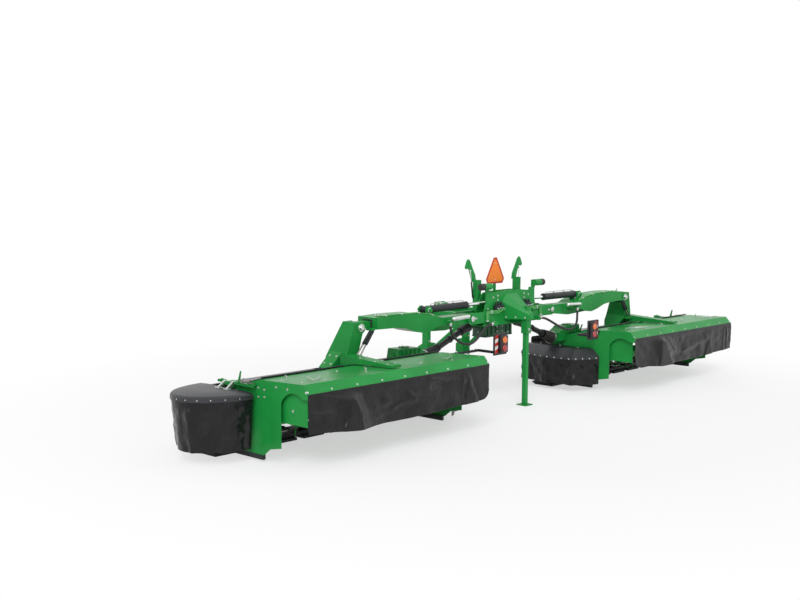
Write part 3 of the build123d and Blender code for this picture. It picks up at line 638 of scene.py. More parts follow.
# rear curtains: PVC cloth in three panels, bolted under the hood's rear edge, the same way round on both wings
curtain = {"ends": (1.702, 4.712), "top": 0.834, "thickness": 0.0032, "columns": 220, "rows": 34, "out": -0.0045,
           "lowest": 0.36, "areaShare": 0.95, "rounding": 0.10, "foldLift": 1.5,
           "hem": [(0.0, 0.42), (0.3, 0.402), (0.7, 0.366), (1.55, 0.36), (2.0, 0.37), (2.4, 0.39), (2.84, 0.402),
                   (3.01, 0.415)],
           "facets": {"left": [(0.61, 0.15, 0.46, 0.75, 0.45, 0.034), (2.62, 0.06, 2.52, 2.80, 0.42, 0.022)],
                      "right": [(0.71, 0.09, 0.62, 0.99, 0.40, 0.034), (2.30, 0.12, 2.16, 2.40, 0.42, 0.020)]},
           "seams": {"left": (0.75, 2.50), "right": (0.80, 2.76)},
           "folds": {"left": [(0.61, 0.17, 0.75, 0.45, 0.20, 0.040), (0.61, 0.17, 0.47, 0.45, 0.16, 0.016),
                              (0.0, 0.21, 0.30, 0.23, 0.05, 0.009), (0.14, 0.02, 0.60, 0.13, 0.07, 0.016),
                              (1.90, 0.06, 2.52, 0.14, 0.07, 0.020), (1.95, 0.16, 2.45, 0.10, 0.05, -0.012),
                              (1.15, 0.20, 1.60, 0.27, 0.08, 0.010), (1.30, 0.31, 1.55, 0.25, 0.05, 0.009),
                              (1.50, 0.22, 2.35, 0.33, 0.10, 0.012), (1.05, 0.36, 1.35, 0.33, 0.05, 0.007),
                              (1.55, 0.17, 1.66, 0.24, 0.05, 0.009), (1.0, 0.26, 1.22, 0.24, 0.04, 0.006),
                              (2.56, 0.05, 2.72, 0.40, 0.08, 0.008)],
                     "right": [(0.71, 0.10, 0.98, 0.46, 0.22, 0.050), (0.71, 0.10, 0.60, 0.46, 0.14, 0.014),
                               (0.10, 0.03, 0.80, 0.06, 0.05, 0.014), (0.95, 0.27, 1.50, 0.31, 0.09, 0.016),
                               (1.45, 0.30, 2.20, 0.17, 0.11, 0.018), (2.15, 0.17, 2.55, 0.22, 0.08, 0.012),
                               (0.90, 0.05, 1.12, 0.24, 0.08, 0.014), (1.15, 0.38, 1.9, 0.30, 0.08, -0.010),
                               (2.85, 0.06, 2.88, 0.40, 0.05, 0.008), (1.30, 0.10, 2.1, 0.08, 0.10, -0.008)]}}


def makeCurtain(side):
    inner, outer = curtain["ends"]
    width = outer - inner
    start = inner if side == "right" else -outer
    length, rounding = curtain["top"] - curtain["lowest"], curtain["rounding"]
    bm = clothGrid(curtain["columns"], curtain["rows"], width, length)
    seed = 3.7 if side == "left" else 8.1
    first, second = curtain["seams"][side]
    for v in bm.verts:
        s, share = v.co.x, v.co.y / length
        drop = curtain["top"] - between(curtain["hem"], s) + 0.004 * drift(s, 0.0, seed + 3, 0.35)
        corner = max(s if side == "right" else width - s, 0)       # from the end that faces the tractor
        if corner < rounding:                                      # rounded lower corner at the inner end
            drop -= rounding - (rounding ** 2 - (rounding - corner) ** 2) ** 0.5
        t = share * drop
        free = min(max(t, 0) / 0.10, 1) ** 1.3
        depth = curtain["foldLift"] * foldDepth(s, t, curtain["folds"][side]) \
            + facetDepth(s, t, curtain["facets"][side]) + 0.020 * drift(s, t, seed, 0.42) \
            + 0.008 * drift(s, t * 1.5, seed + 7, 0.16) + 0.0015 * drift(s, t, seed + 11, 0.05)
        if s < first:
            depth += (0.012 + 0.030 * s / first) * share
        elif s < second:
            past = s - first
            depth += share * (0.042 * (1 - min(past / 0.30, 1)) - 0.024 * sin(pi * past / (second - first)))
        if share > 0.94:
            depth += 0.0022                                        # turned hem
        depth += 0.0035 * max(0, 1 - abs(s - first) / 0.03) + 0.0045 * max(0, 1 - abs(s - second) / 0.03)
        inward = -0.004 if t < 0.06 else -0.03                     # the top stays outside the hood's edge
        v.co = at(start + s, curtain["out"] - min(max(depth * free, inward), 0.068), curtain["top"] - t)
    piece = hangCloth(side + "RearCurtain", bm, side + "_unit", side + "_rear_curtain", curtain["thickness"])


for side in sides:
    makeCurtain(side)
print("rear curtains hung")

# outer guards: a domed lid moulded in polyethylene on two zinc plated hinge arms
outerLid = {"centre": (4.762, 1.275), "reach": 0.655, "half": 0.475, "arms": (1.155, 1.298), "armHalf": 0.0135,
            "profile": [(0.0, 0.7680), (0.30, 0.7665), (0.50, 0.7635), (0.512, 0.7605), (0.605, 0.7585),
                        (0.638, 0.7510),
                        (0.6545, 0.7360), (0.6545, 0.7040), (0.6580, 0.7010), (0.6580, 0.6920), (0.6530, 0.6895),
                        (0.6485, 0.6940), (0.6485, 0.7340), (0.634, 0.7470), (0.600, 0.7540), (0.30, 0.7620),
                        (0.0, 0.7630)],
            "armLine": [(4.745, 0.785), (4.852, 0.755), (4.852, 0.771), (4.762, 0.838), (4.724, 0.838), (4.72, 0.80)]}


def makeOuterLid(side):
    bm = bmesh.new()
    spots = [bm.verts.new((0, -radius, height)) for radius, height in outerLid["profile"]]
    rim = [bm.edges.new(pair) for pair in zip(spots, spots[1:])]
    bmesh.ops.spin(bm, geom=spots + rim, cent=(0, 0, 0), axis=(0, 0, 1), angle=pi, steps=48)
    bmesh.ops.remove_doubles(bm, verts=bm.verts, dist=1e-5)
    bmesh.ops.holes_fill(bm, edges=[e for e in bm.edges if e.is_boundary], sides=0)
    bmesh.ops.scale(bm, vec=(1, outerLid["half"] / outerLid["reach"], 1), verts=bm.verts)
    bmesh.ops.translate(bm, vec=at(*outerLid["centre"], 0), verts=bm.verts)
    addPiece(side + "OuterLid", bm, "lidPlastic", side + "_outer_guard", side, replaces=side + "_outer_lid")
    bm = bmesh.new()
    for middle in outerLid["arms"]:
        low = middle - outerLid["armHalf"]
        addPlate(bm, [at(x, low, z) for x, z in outerLid["armLine"]], (0, 2 * outerLid["armHalf"], 0), 0.0015)
        addBox(bm, at(4.800, middle - 0.034, 0.763), at(4.868, middle + 0.034, 0.769), 0.0012, 1)
        for off in (-0.024, 0.024):
            addBolt(bm, at(4.858, middle + off, 0.769), (0, 0, 1), 0.013, 0.006)
    addPiece(side + "LidArms", bm, "zinc", side + "_outer_guard", side)
    bm = bmesh.new()
    (centreX, centreY), reach, half = outerLid["centre"], outerLid["reach"], outerLid["half"]
    for turn in range(-75, 90, 15):                                # rivets which hold the skirt in the lid's rim
        x, y = cos(radians(turn)), sin(radians(turn))
        spot = at(centreX + reach * x, centreY + half * y, 0.716)
        way = Vector((x / reach, y / half, 0)).normalized()
        addTurned(bm, [(0.0, 0.007), (0.0012, 0.0062), (0.0026, 0.004), (0.003, 0.0)], spot, way, 12)
    addPiece(side + "LidRivets", bm, "zinc", side + "_outer_guard", side)


# skirts of the outer guards: PVC cloth that hangs from the rim in stiff, crumpled panels
outerSkirt = {"rim": (0.6465, 0.4665), "foot": (0.566, 0.442), "top": 0.705, "hem": 0.142, "thickness": 0.0032,
              "wallGap": 4.7665,
              "columns": 168, "rows": 34, "corners": [(0.745, 0.024, 0.055), (1.22, 0.016, 0.05), (1.50, 0.014, 0.05)],
              "folds": [(0.745, 0.06, 0.62, 0.52, 0.10, 0.020), (0.10, 0.10, 0.34, 0.30, 0.08, 0.018),
                        (0.36, 0.06, 0.22, 0.34, 0.07, 0.016), (0.08, 0.34, 0.40, 0.44, 0.08, 0.018),
                        (0.30, 0.22, 0.44, 0.50, 0.07, -0.014), (0.95, 0.10, 1.05, 0.50, 0.12, -0.012),
                        (0.04, 0.05, 0.06, 0.52, 0.05, 0.022), (0.12, 0.20, 0.26, 0.16, 0.05, -0.014)]}


def makeOuterSkirt(side):
    (centreX, centreY), (reach, half) = outerLid["centre"], outerSkirt["rim"]
    turns = [radians(-90 + i) for i in range(181)]
    lengths = [0.0]
    for first, second in zip(turns, turns[1:]):
        leg = Vector((reach * (cos(second) - cos(first)), half * (sin(second) - sin(first))))
        lengths.append(lengths[-1] + leg.length)
    width = lengths[-1]
    turnAt = list(zip(lengths, turns))
    length = outerSkirt["top"] - outerSkirt["hem"]
    bm = clothGrid(outerSkirt["columns"], outerSkirt["rows"], width, length)
    seed = 21.3 if side == "left" else 30.9
    hand = sides[side]
    for v in bm.verts:
        s, share = v.co.x, v.co.y / length
        turn = between(turnAt, s)
        t = share * (length + 0.012 * drift(s, 0.0, seed, 0.22))
        free = min(max(t - 0.02, 0) / 0.10, 1) ** 1.2
        crumple = max(0.0, 1 - s / 0.55)
        depth = foldDepth(s, t, outerSkirt["folds"]) + 0.026 * drift(s, t * 0.4, seed + 2, 0.20) * (0.3 + share) \
            + 0.010 * drift(s, t, seed + 5, 0.11) + 0.005 * drift(s, t, seed + 9, 0.045) \
            + 0.050 * crumple * (0.4 - abs(drift(s, t, seed + 13, 0.16)) - 0.4 * abs(drift(s, t, seed + 17, 0.07)))
        depth += ridges(s, share, outerSkirt["corners"], 0.35)
        if share > 0.95:
            depth += 0.002                                         # turned hem
        ends = min(1, min(s, width - s) / 0.05)
        depth = min(max(depth, -0.03), 0.034) * free * (0.35 + 0.65 * ends)
        across = Vector((cos(turn) / reach, sin(turn) / half)).normalized()
        a = reach + (outerSkirt["foot"][0] - reach) * share
        b = half + (outerSkirt["foot"][1] - half) * share
        x, y = centreX + a * cos(turn) + depth * across.x, centreY + b * sin(turn) + depth * across.y
        v.co = at(hand * max(x, outerSkirt["wallGap"]), y, outerSkirt["top"] - t)
    piece = hangCloth(side + "OuterSkirt", bm, side + "_outer_guard", side + "_outer_skirt", outerSkirt["thickness"])


# inner guards: a folded roof over cloth that hangs from its eaves
innerGuard = {"eaves": [(1.372, 1.790), (1.250, 1.285), (1.300, 0.800), (1.6985, 0.585)], "eavesZ": 0.505,
              "ridge": [(1.500, 1.790), (1.405, 1.285), (1.440, 0.860), (1.6985, 0.700)], "ridgeZ": 0.622, "lip": 0.028,
              "clothLine": [(1.6975, 1.784), (1.378, 1.784), (1.2565, 1.285), (1.3065, 0.806), (1.6975, 0.594)],
              "wall": 1.6985, "hem": 0.098, "columns": 190, "rows": 26, "thickness": 0.0032,
              "corners": [(0.327, 0.012, 0.04), (0.8465, 0.014, 0.05), (1.3341, 0.018, 0.05)],
              "folds": [(1.34, 0.02, 1.08, 0.34, 0.06, 0.017), (1.34, 0.02, 1.20, 0.36, 0.05, -0.014),
                        (1.34, 0.02, 1.29, 0.36, 0.05, 0.018), (1.34, 0.02, 1.44, 0.34, 0.05, 0.017),
                        (1.34, 0.02, 1.56, 0.30, 0.06, -0.013), (1.34, 0.02, 1.66, 0.22, 0.05, 0.016),
                        (1.38, 0.02, 1.74, 0.10, 0.05, 0.012), (0.50, 0.04, 0.62, 0.34, 0.10, 0.014),
                        (0.90, 0.05, 0.98, 0.34, 0.08, 0.015), (0.15, 0.05, 0.10, 0.34, 0.08, 0.012)]}


def makeInnerGuard(side):
    hand = sides[side]
    eaves = [at(x, y, innerGuard["eavesZ"]) for x, y in innerGuard["eaves"]]
    ridge = [at(x, y, innerGuard["ridgeZ"]) for x, y in innerGuard["ridge"]]
    back = [at(innerGuard["wall"], 1.790, innerGuard["eavesZ"])] + eaves
    top = [at(innerGuard["wall"], 1.790, innerGuard["ridgeZ"])] + ridge
    bm = bmesh.new()
    drop = Vector((0, 0, -innerGuard["lip"]))
    low, mid, high = ([bm.verts.new(p) for p in row] for row in ([p + drop for p in back], back, top))
    for i in range(len(back) - 1):
        bm.faces.new((low[i], low[i + 1], mid[i + 1], mid[i]))
        bm.faces.new((mid[i], mid[i + 1], high[i + 1], high[i]))
    bm.faces.new(high)
    bmesh.ops.recalc_face_normals(bm, faces=bm.faces)
    creases = [e for e in bm.edges if len(e.link_faces) == 2]
    bmesh.ops.bevel(bm, geom=creases, offset=0.007, offset_type="OFFSET", segments=3, profile=0.5, affect="EDGES",
                    material=-1)
    bmesh.ops.solidify(bm, geom=list(bm.faces), thickness=0.004)
    addPiece(side + "InnerGuardRoof", bm, "lidPlastic", side + "_unit", side, replaces=side + "_inner_guard")
    bm = bmesh.new()
    for first, second in zip(eaves, eaves[1:]):
        along = second - first
        way = Vector((along.y, -along.x, 0)).normalized()
        way = way if way.x < 0 or way.y < 0 else -way
        for share in (0.125, 0.375, 0.625, 0.875):
            spot = first.lerp(second, share) + drop * 0.5
            addTurned(bm, [(-0.001, 0.010), (0.001, 0.010), (0.003, 0.006), (0.0034, 0.0)], spot, way, 14)
    for x, y in ((1.63, 0.93), (1.63, 1.25), (1.63, 1.60)):
        addBolt(bm, at(x, y, 0.622), (0, 0, 1), 0.015, 0.007)
    addPiece(side + "InnerGuardBolts", bm, "zinc", side + "_unit", side)
    # the cloth follows the eaves 5 mm inside the roof's lip
    path = [Vector(p) for p in innerGuard["clothLine"]]
    starts = startsOf(path)
    width = starts[-1]
    topZ = innerGuard["eavesZ"] - 0.006
    length = topZ - innerGuard["hem"]
    bm = clothGrid(innerGuard["columns"], innerGuard["rows"], width, length)
    seed = 44.1 if side == "left" else 51.7
    for v in bm.verts:
        s, share = v.co.x, v.co.y / length
        _, spot, along = placeOn(path, starts, s)
        across = Vector((-along.y, along.x))
        for i in range(1, len(path) - 1):                          # the way out turns smoothly round each corner
            if abs(s - starts[i]) < 0.05:
                before, after = (path[i] - path[i - 1]).normalized(), (path[i + 1] - path[i]).normalized()
                mixed = before.lerp(after, (s - starts[i] + 0.05) / 0.10).normalized()
                across = Vector((-mixed.y, mixed.x))
        t = share * (length + 0.006 * drift(s, 0.0, seed, 0.22))
        free = min(max(t - 0.025, 0) / 0.08, 1) ** 1.2
        depth = foldDepth(s, t, innerGuard["folds"]) + 0.020 * drift(s, t * 0.5, seed + 2, 0.20) * (0.4 + share) \
            + 0.014 * drift(s, t, seed + 5, 0.10) + 0.004 * drift(s, t, seed + 9, 0.045)
        depth += ridges(s, share, innerGuard["corners"], 0.3)
        if share > 0.94:
            depth += 0.002                                         # turned hem
        ends = min(1, min(s, width - s) / 0.05)
        spot = spot + across * min(max(depth, -0.022), 0.026) * free * ends
        v.co = at(hand * min(spot.x, innerGuard["wall"] - 0.001), spot.y, topZ - t)
    piece = hangCloth(side + "InnerGuardCloth", bm, side + "_unit", side + "_inner_guard", innerGuard["thickness"])


# front covers: one cloth which lies over the discs' frame and hangs down in front of the knives
frontCover = {"ends": (1.713, 4.687), "columns": 186, "rows": 92, "thickness": 0.003,
              "line": [(0.785, 0.9045), (1.110, 0.8145), (1.350, 0.8105), (1.850, 0.700), (1.850, 0.150)],
              "cutouts": [(2.965, 3.400, 1.035, 1.356), (1.700, 2.084, 1.166, 1.404), (4.621, 4.720, 1.171, 1.309)]}


def makeFrontCover(side):
    hand = sides[side]
    inner, outer = frontCover["ends"]
    width = outer - inner
    line = [Vector(p) for p in frontCover["line"]]
    starts = startsOf(line)
    length = starts[-1]
    bm = clothGrid(frontCover["columns"], frontCover["rows"], width, length)
    seed = 61.9 if side == "left" else 70.3
    for v in bm.verts:
        s, t = v.co.x, v.co.y
        part, spot, along = placeOn(line, starts, t)
        across = Vector((-along.y, along.x)) if part < 3 else Vector((1, 0))
        if part == 2:                                              # roof in front of the beam: slack sag between edges
            share = (t - starts[2]) / (starts[3] - starts[2])
            sag = -0.010 + 0.007 * drift(s, t, seed, 0.22) + 0.003 * drift(s, t, seed + 3, 0.08)
            depth = sag * sin(pi * share)
        elif part == 3:                                            # hanging front
            fall = (t - starts[3]) / (starts[4] - starts[3])
            wave = 0.013 * sin(2 * pi * (s / 0.33 + 0.35 * drift(s, fall, seed, 0.8))) * fall \
                + 0.010 * drift(s, t * 0.5, seed + 4, 0.16) * (0.3 + fall) + 0.003 * drift(s, t, seed + 7, 0.06)
            depth = min(wave * min(fall / 0.15, 1), 0.028) - 0.004 * (fall < 0.02)
        else:
            depth = 0.0022 * drift(s, t, seed, 0.12) * (part == 0)
        spot = spot + across * depth
        corner = 0.010 * max(0, 1 - abs(t - starts[3]) / 0.03)     # the front edge is rounded over
        v.co = at(hand * (inner + s), spot.x - corner, spot.y - corner * 0.6)
    holes = []
    for face in bm.faces:
        middle = face.calc_center_median()
        x, y = middle.x * hand, middle.y - rearY
        if middle.z > 0.72 and any(a < x < b and c < y < d for a, b, c, d in frontCover["cutouts"]):
            holes.append(face)
    bmesh.ops.delete(bm, geom=holes, context="FACES")
    piece = hangCloth(side + "FrontCover", bm, side + "_unit", side + "_front_cover", frontCover["thickness"], levels=0)
    # round bar in the seam along the front edge, and the bar which clamps the rear edge to the hood
    bm = bmesh.new()
    for start, end, y, z in ((inner + 0.01, outer - 0.01, 1.834, 0.690), (inner + 0.03, 2.93, 0.792, 0.9115),
                             (3.42, outer - 0.03, 0.792, 0.9115)):
        addRod(bm, at(start, y, z), at(end, y, z), 0.0085, segments=14, edge=0.0015)
    addPiece(side + "CoverBars", bm, "black", side + "_unit", side)


for side in sides:
    makeOuterLid(side)
    makeOuterSkirt(side)
    makeInnerGuard(side)
    makeFrontCover(side)
print("guards and covers made")


# rubber boots over the outer joints of the drive shafts, ribbed so that they bend
boot = {"joint": (0.56, 1.285, 1.085), "way": (0.9376, 0.0, -0.3477), "mouth": 0.704, "length": 0.245,
        "radii": (0.0615, 0.0945), "ribs": 9, "wall": 0.004}


def makeBoot(side):
    bm = bmesh.new()
    small, large = boot["radii"]
    outside, inside = [], []
    for i in range(2 * boot["ribs"] + 1):
        share = i / (2 * boot["ribs"])
        radius = small + (large - small) * share - (0.007 if i % 2 else 0)
        outside.append((share * boot["length"], radius))
        inside.append((share * boot["length"], radius - boot["wall"]))
    profile = outside + inside[::-1]
    joint, way = at(*boot["joint"]), Vector(boot["way"])
    addTurned(bm, profile, joint + way * boot["mouth"], way, 40, closed=True)
    addPiece(side + "Boot", bm, "rubber", side + "_unit", side, 60, replaces=side + "_shaft_boot")
    bm = bmesh.new()                                               # worm clip round the wide end
    clip = joint + way * (boot["mouth"] + boot["length"] - 0.018)
    addTurned(bm, [(-0.007, 0.0915), (-0.007, 0.0955), (0.007, 0.0965), (0.007, 0.0925)], clip, way, 40, closed=True)
    addPiece(side + "BootClip", bm, "zinc", side + "_unit", side)
    bm = bmesh.new()                                               # bearing rings of the shaft's plastic guard
    for along, radius in ((0.156, 0.0595), (0.40, 0.0505), (0.66, 0.0505)):
        addTurned(bm, [(-0.009, 0.042), (-0.009, radius - 0.002), (-0.007, radius), (0.007, radius),
                       (0.009, radius - 0.002), (0.009, 0.042)], joint + way * along, way, 36)
    addPiece(side + "GuardRings", bm, "blackPlastic", side + "_drive_shaft", side)


# lamp boards: moulded board with two lamps on its inner half and slanted marker film on the outer half
lampBoard = {"board": ((0.95, 0.310, 0.85), (1.21, 0.330, 1.13)), "housing": ((0.97, 0.266, 0.88), (1.12, 0.311, 1.10)),
             "amber": (1.045, 0.266, 1.045), "red": (1.045, 0.266, 0.938), "lamp": 0.044}


def makeLampBoard(side):
    bm = bmesh.new()
    low, high = lampBoard["board"]
    addBox(bm, at(*low), at(*high), 0.006, 3)
    addBox(bm, at(*lampBoard["housing"][0]), at(*lampBoard["housing"][1]), 0.009, 3)
    for x in (0.958, 1.202):                                       # stiff rims down both edges
        addBox(bm, at(x - 0.006, 0.304, 0.856), at(x + 0.006, 0.312, 1.124), 0.002, 2)
    for z in (0.90, 0.99, 1.08):                                   # ribs across the front face
        addBox(bm, at(0.965, 0.328, z - 0.004), at(1.195, 0.334, z + 0.004), 0.001, 1)
    addPiece(side + "LampBoard", bm, "blackPlastic", side + "_unit", side, replaces=side + "_lamp_board")
    bm = bmesh.new()
    addBox(bm, at(1.14, 0.330, 0.872), at(1.18, 0.620, 0.903), 0.004, 2)
    addBox(bm, at(1.1805, 0.587, 0.872), at(1.6985, 0.618, 0.903), 0.004, 2)
    addPlate(bm, [at(1.132, 0.331, 0.86), at(1.188, 0.331, 0.86), at(1.188, 0.331, 1.02), at(1.132, 0.331, 1.02)],
             (0, 0.005, 0), 0.0008)
    for z in (0.93, 1.00):
        addBolt(bm, at(1.16, 0.336, z), (0, 1, 0), 0.013, 0.006)
    for x in (1.22, 1.62):
        addBolt(bm, at(x, 0.602, 0.903), (0, 0, 1), 0.013, 0.006)
    addPiece(side + "LampBracket", bm, "black", side + "_unit", side)
    dome = lampBoard["lamp"]
    for look in ("amber", "red"):
        bm = bmesh.new()
        addTurned(bm, [(-0.001, dome), (0.006, dome), (0.010, dome * 0.93), (0.0125, dome * 0.7), (0.0135, dome * 0.35),
                       (0.0138, 0.0)], at(*lampBoard[look]), (0, -1, 0), 36)
        addPiece(side + look.capitalize() + "Lamp", bm, look, side + "_unit", side)
    for look, places in (("redFilm", (0, 2, 4)), ("whiteFilm", (1, 3))):
        bm = bmesh.new()
        for i in places:                                           # bands of film slant down and outward
            z = 0.868 + i * 0.046
            addPlate(bm, [at(1.129, 0.3092, z + 0.022), at(1.192, 0.3092, z), at(1.192, 0.3092, z + 0.045),
                          at(1.129, 0.3092, z + 0.067)], (0, 0.0012, 0))
        addPiece(side + look.capitalize() + "Marker", bm, look, side + "_unit", side)


for side in sides:
    makeBoot(side)
    makeLampBoard(side)
print("boots and lamp boards made")


# bolts, pins and handles of the hood and the side walls
fittings = {"wallOut": 4.7005, "wall": [(0.79, 0.71), (0.69, 0.72), (0.79, 0.81), (0.69, 0.80), (0.50, 0.85),
                                        (0.32, 0.85), (0.03, 0.85), (0.23, 0.63)],
            "rearEdge": [1.71, 2.09, 2.46, 2.84, 3.21, 3.58, 3.97, 4.35, 4.69],
            "hood": [(4.30, 0.16), (3.75, 0.56), (2.24, 0.14), (1.74, 0.13), (4.60, 0.52), (4.60, 0.20), (1.80, 0.55)],
            "pins": [(3.57, 0.28), (4.52, 0.54)], "rise": 0.018,
            "handles": [[(4.33, 0.42), (4.49, 0.15), (4.26, 0.29)], [(2.20, 0.31), (2.33, 0.15), (2.01, 0.34)]]}


def hoodTop(fromRear):
    # height of the hood's outside over a place
    return between([(0.0, 0.832), (0.08, 0.925), (0.77, 0.900), (1.117, 0.806)], fromRear)


def makeFittings(side):
    bm = bmesh.new()
    for y, z in fittings["wall"]:
        addBolt(bm, at(fittings["wallOut"], y, z), (1, 0, 0), 0.017)
    for x in fittings["rearEdge"]:
        addBolt(bm, at(x, 0.018, hoodTop(0.018)), (0, -1, 0.55), 0.014, 0.006)
    for x, y in fittings["hood"]:
        addBolt(bm, at(x, y, hoodTop(y)), (0, 0, 1), 0.018)
    for x, y in fittings["pins"]:                                  # pins with spring cotters through their heads
        top = hoodTop(y)
        addRod(bm, at(x, y, top), at(x, y, top + 0.040), 0.007, segments=14, edge=0.001)
        addRod(bm, at(x, y, top), at(x, y, top + 0.004), 0.016, segments=18)
        addRing(bm, at(x + 0.012, y, top + 0.036), 0.014, 0.0016, (0.2, 1, 0))
    addRing(bm, at(2.77, 0.18, hoodTop(0.18) + 0.020), 0.019, 0.0032, (1, 0.25, 0.2))
    for first, corner, last in fittings["handles"]:
        ends = [[at(*spot, hoodTop(spot[1]) + up) for up in (-0.001, fittings["rise"])] for spot in (first, last)]
        high = hoodTop(corner[1]) + fittings["rise"] + 0.004
        bends = [at(spot[0] + (corner[0] - spot[0]) * 0.93, spot[1] + (corner[1] - spot[1]) * 0.93, high)
                 for spot in (first, last)]
        route = [*ends[0], bends[0], at(*corner, high), bends[1], *ends[1][::-1]]
        addPipe(bm, route, 0.0045, False)
    addPiece(side + "Fittings", bm, "zinc", side + "_unit", side)
    # latch of the outer guard: channel along the wall, lever and spring
    bm = bmesh.new()
    for start, end in ((0.80, 1.135), (1.325, 1.42)):
        addBox(bm, at(4.7010, start, 0.832), at(4.757, end, 0.838), 0.0012, 1)
        addBox(bm, at(4.7010, start, 0.786), at(4.707, end, 0.838), 0.0012, 1)
        addBox(bm, at(4.7510, start, 0.812), at(4.757, end, 0.838), 0.0012, 1)
        for y in (start + 0.04, end - 0.04):
            addBolt(bm, at(4.729, y, 0.838), (0, 0, 1), 0.015, 0.006)
    addPlate(bm, [at(4.7065, 1.085, 0.836), at(4.7065, 1.125, 0.836), at(4.7065, 1.085, 0.962),
                  at(4.7065, 1.065, 0.958)], (0.006, 0, 0), 0.0012)
    addPiece(side + "LatchRail", bm, "green", side + "_unit", side)
    bm = bmesh.new()
    addRing(bm, at(4.735, 1.00, 0.866), 0.028, 0.0028, (0.9, 0.3, 0.2))
    addRing(bm, at(4.735, 0.90, 0.862), 0.022, 0.0025, (0.5, 0.8, 0.1))
    coil = [(4.730 + 0.008 * cos(i * pi / 3), 0.82 + 0.26 * i / 96, 0.852 + 0.008 * sin(i * pi / 3)) for i in range(97)]
    addPipe(bm, [at(*p) for p in coil], 0.0022)
    addPiece(side + "LatchSpring", bm, "steel", side + "_unit", side)


for side in sides:
    makeFittings(side)
print("fittings made")

# fittings of the centre frame, the hitch and the gearbox
centreParts = {"pivot": (0.91, 0.900, 1.25), "anchor": (0.10, 0.949, 1.43), "plateRear": 0.967,
               "bumper": (0.6405, 0.941, 1.66),
               "plateBolts": [(0.30, 1.52), (0.40, 1.50), (0.515, 1.35), (0.30, 1.46)],
               "sign": [(0.170, 1.655), (0.205, 1.720), (0.035, 2.020)], "signRear": 1.250,
               "strut": ((0.500, 1.246, 1.490), (0.556, 1.246, 1.860))}


def makeCentreBolts():
    bm = bmesh.new()
    for hand in (1, -1):
        x, y, z = centreParts["pivot"]
        addTurned(bm, [(-0.0005, 0.0), (-0.0005, 0.038), (0.003, 0.038), (0.005, 0.034), (0.005, 0.012), (0.010, 0.010),
                       (0.011, 0.0)], at(hand * x, y, z), (0, -1, 0), 32)
        addBox(bm, at(hand * 0.855 - 0.04, 0.9085, 1.238), at(hand * 0.855 + 0.04, 0.9145, 1.262), 0.001, 1)
        addBolt(bm, at(hand * 0.835, 0.9085, 1.25), (0, -1, 0), 0.017)
        addBolt(bm, at(hand * centreParts["anchor"][0], *centreParts["anchor"][1:]), (0, -1, 0), 0.022)
        for boltX, boltZ in centreParts["plateBolts"]:
            addBolt(bm, at(hand * boltX, centreParts["plateRear"], boltZ), (0, -1, 0), 0.018)
        for share in (0.16, 0.5, 0.84):                            # bolts along the lower edge of the beak's cheeks
            spot = at(hand * (0.2 - 0.15 * share), 0.969 - 0.359 * share, 1.222)
            addBolt(bm, spot, (0.923 * hand, -0.385, 0), 0.015, 0.006)
        for off in (-0.018, 0.018):
            addBolt(bm, at(hand * 0.45 + off, 1.282, 1.715), (0, 1, 0), 0.014, 0.006)
        addBolt(bm, at(hand * 0.515, 0.850, 1.185), (0, 0, 1), 0.014, 0.006)
    for z in (1.705, 1.935):
        addBolt(bm, at(0, centreParts["signRear"] - 0.0002, z), (0, -1, 0), 0.012, 0.004)
    # locking pin of the rear stand, with its ring
    addRod(bm, at(0, 0.630, 1.06), at(0, 0.668, 1.06), 0.0075, segments=16, edge=0.001)
    addTurned(bm, [(-0.001, 0.0), (-0.001, 0.017), (0.005, 0.017), (0.006, 0.0)], at(0, 0.6515, 1.06), (0, -1, 0), 20)
    addRing(bm, at(0, 0.631, 1.042), 0.019, 0.0025, (1, 0.3, 0))
    addPiece("centreFittings", bm, "zinc", "centre")


# rubber caps of the bumpers
def makeBumperCaps():
    bm = bmesh.new()
    for hand in (1, -1):
        x, y, z = centreParts["bumper"]
        addTurned(bm, [(0.0, 0.0425), (0.0, 0.0455), (0.012, 0.047), (0.020, 0.0455), (0.034, 0.0455), (0.042, 0.047),
                       (0.050, 0.0455), (0.072, 0.0455), (0.080, 0.042), (0.0825, 0.034), (0.0825, 0.0)],
                  at(hand * x, y, z), (hand, 0, 0), 36)
    addPiece("bumperCaps", bm, "rubber", "centre")


# dark red border of the sign
def makeSignBorder():
    bm = bmesh.new()
    half = centreParts["sign"]
    outline = [(x, z) for x, z in half] + [(-x, z) for x, z in half[::-1]]
    face = bm.faces.new([bm.verts.new(at(x, centreParts["signRear"] - 0.0004, z)) for x, z in outline])
    bm.normal_update()
    bmesh.ops.inset_region(bm, faces=[face], thickness=0.026, use_boundary=True, use_even_offset=True)
    bmesh.ops.delete(bm, geom=[face], context="FACES")
    made = bmesh.ops.extrude_face_region(bm, geom=list(bm.faces))["geom"]
    bmesh.ops.translate(bm, vec=(0, -0.0008, 0), verts=[v for v in made if isinstance(v, bmesh.types.BMVert)])
    addPiece("signBorder", bm, "redFilm", "centre")


# gas struts of the transport hooks
def makeHookStruts():
    bm, rods = bmesh.new(), bmesh.new()
    for hand in (1, -1):
        low, high = (at(hand * x, y, z) for x, y, z in centreParts["strut"])
        middle = low.lerp(high, 0.58)
        addRod(bm, low, middle, 0.011, segments=20, edge=0.0015)
        addRod(rods, middle, high, 0.005, segments=14)
        addBox(bm, at(hand * 0.493 - 0.008, 1.236, 1.475), at(hand * 0.493 + 0.008, 1.2575, 1.500), 0.002, 1)
        addTurned(rods, [(-0.008, 0.0), (-0.008, 0.010), (0.008, 0.010), (0.008, 0.0)], high + Vector((0, 0.004, 0)),
                  (0, 1, 0), 18)
    addPiece("hookStruts", bm, "black", "centre")
    addPiece("hookStrutRods", rods, "chrome", "centre")


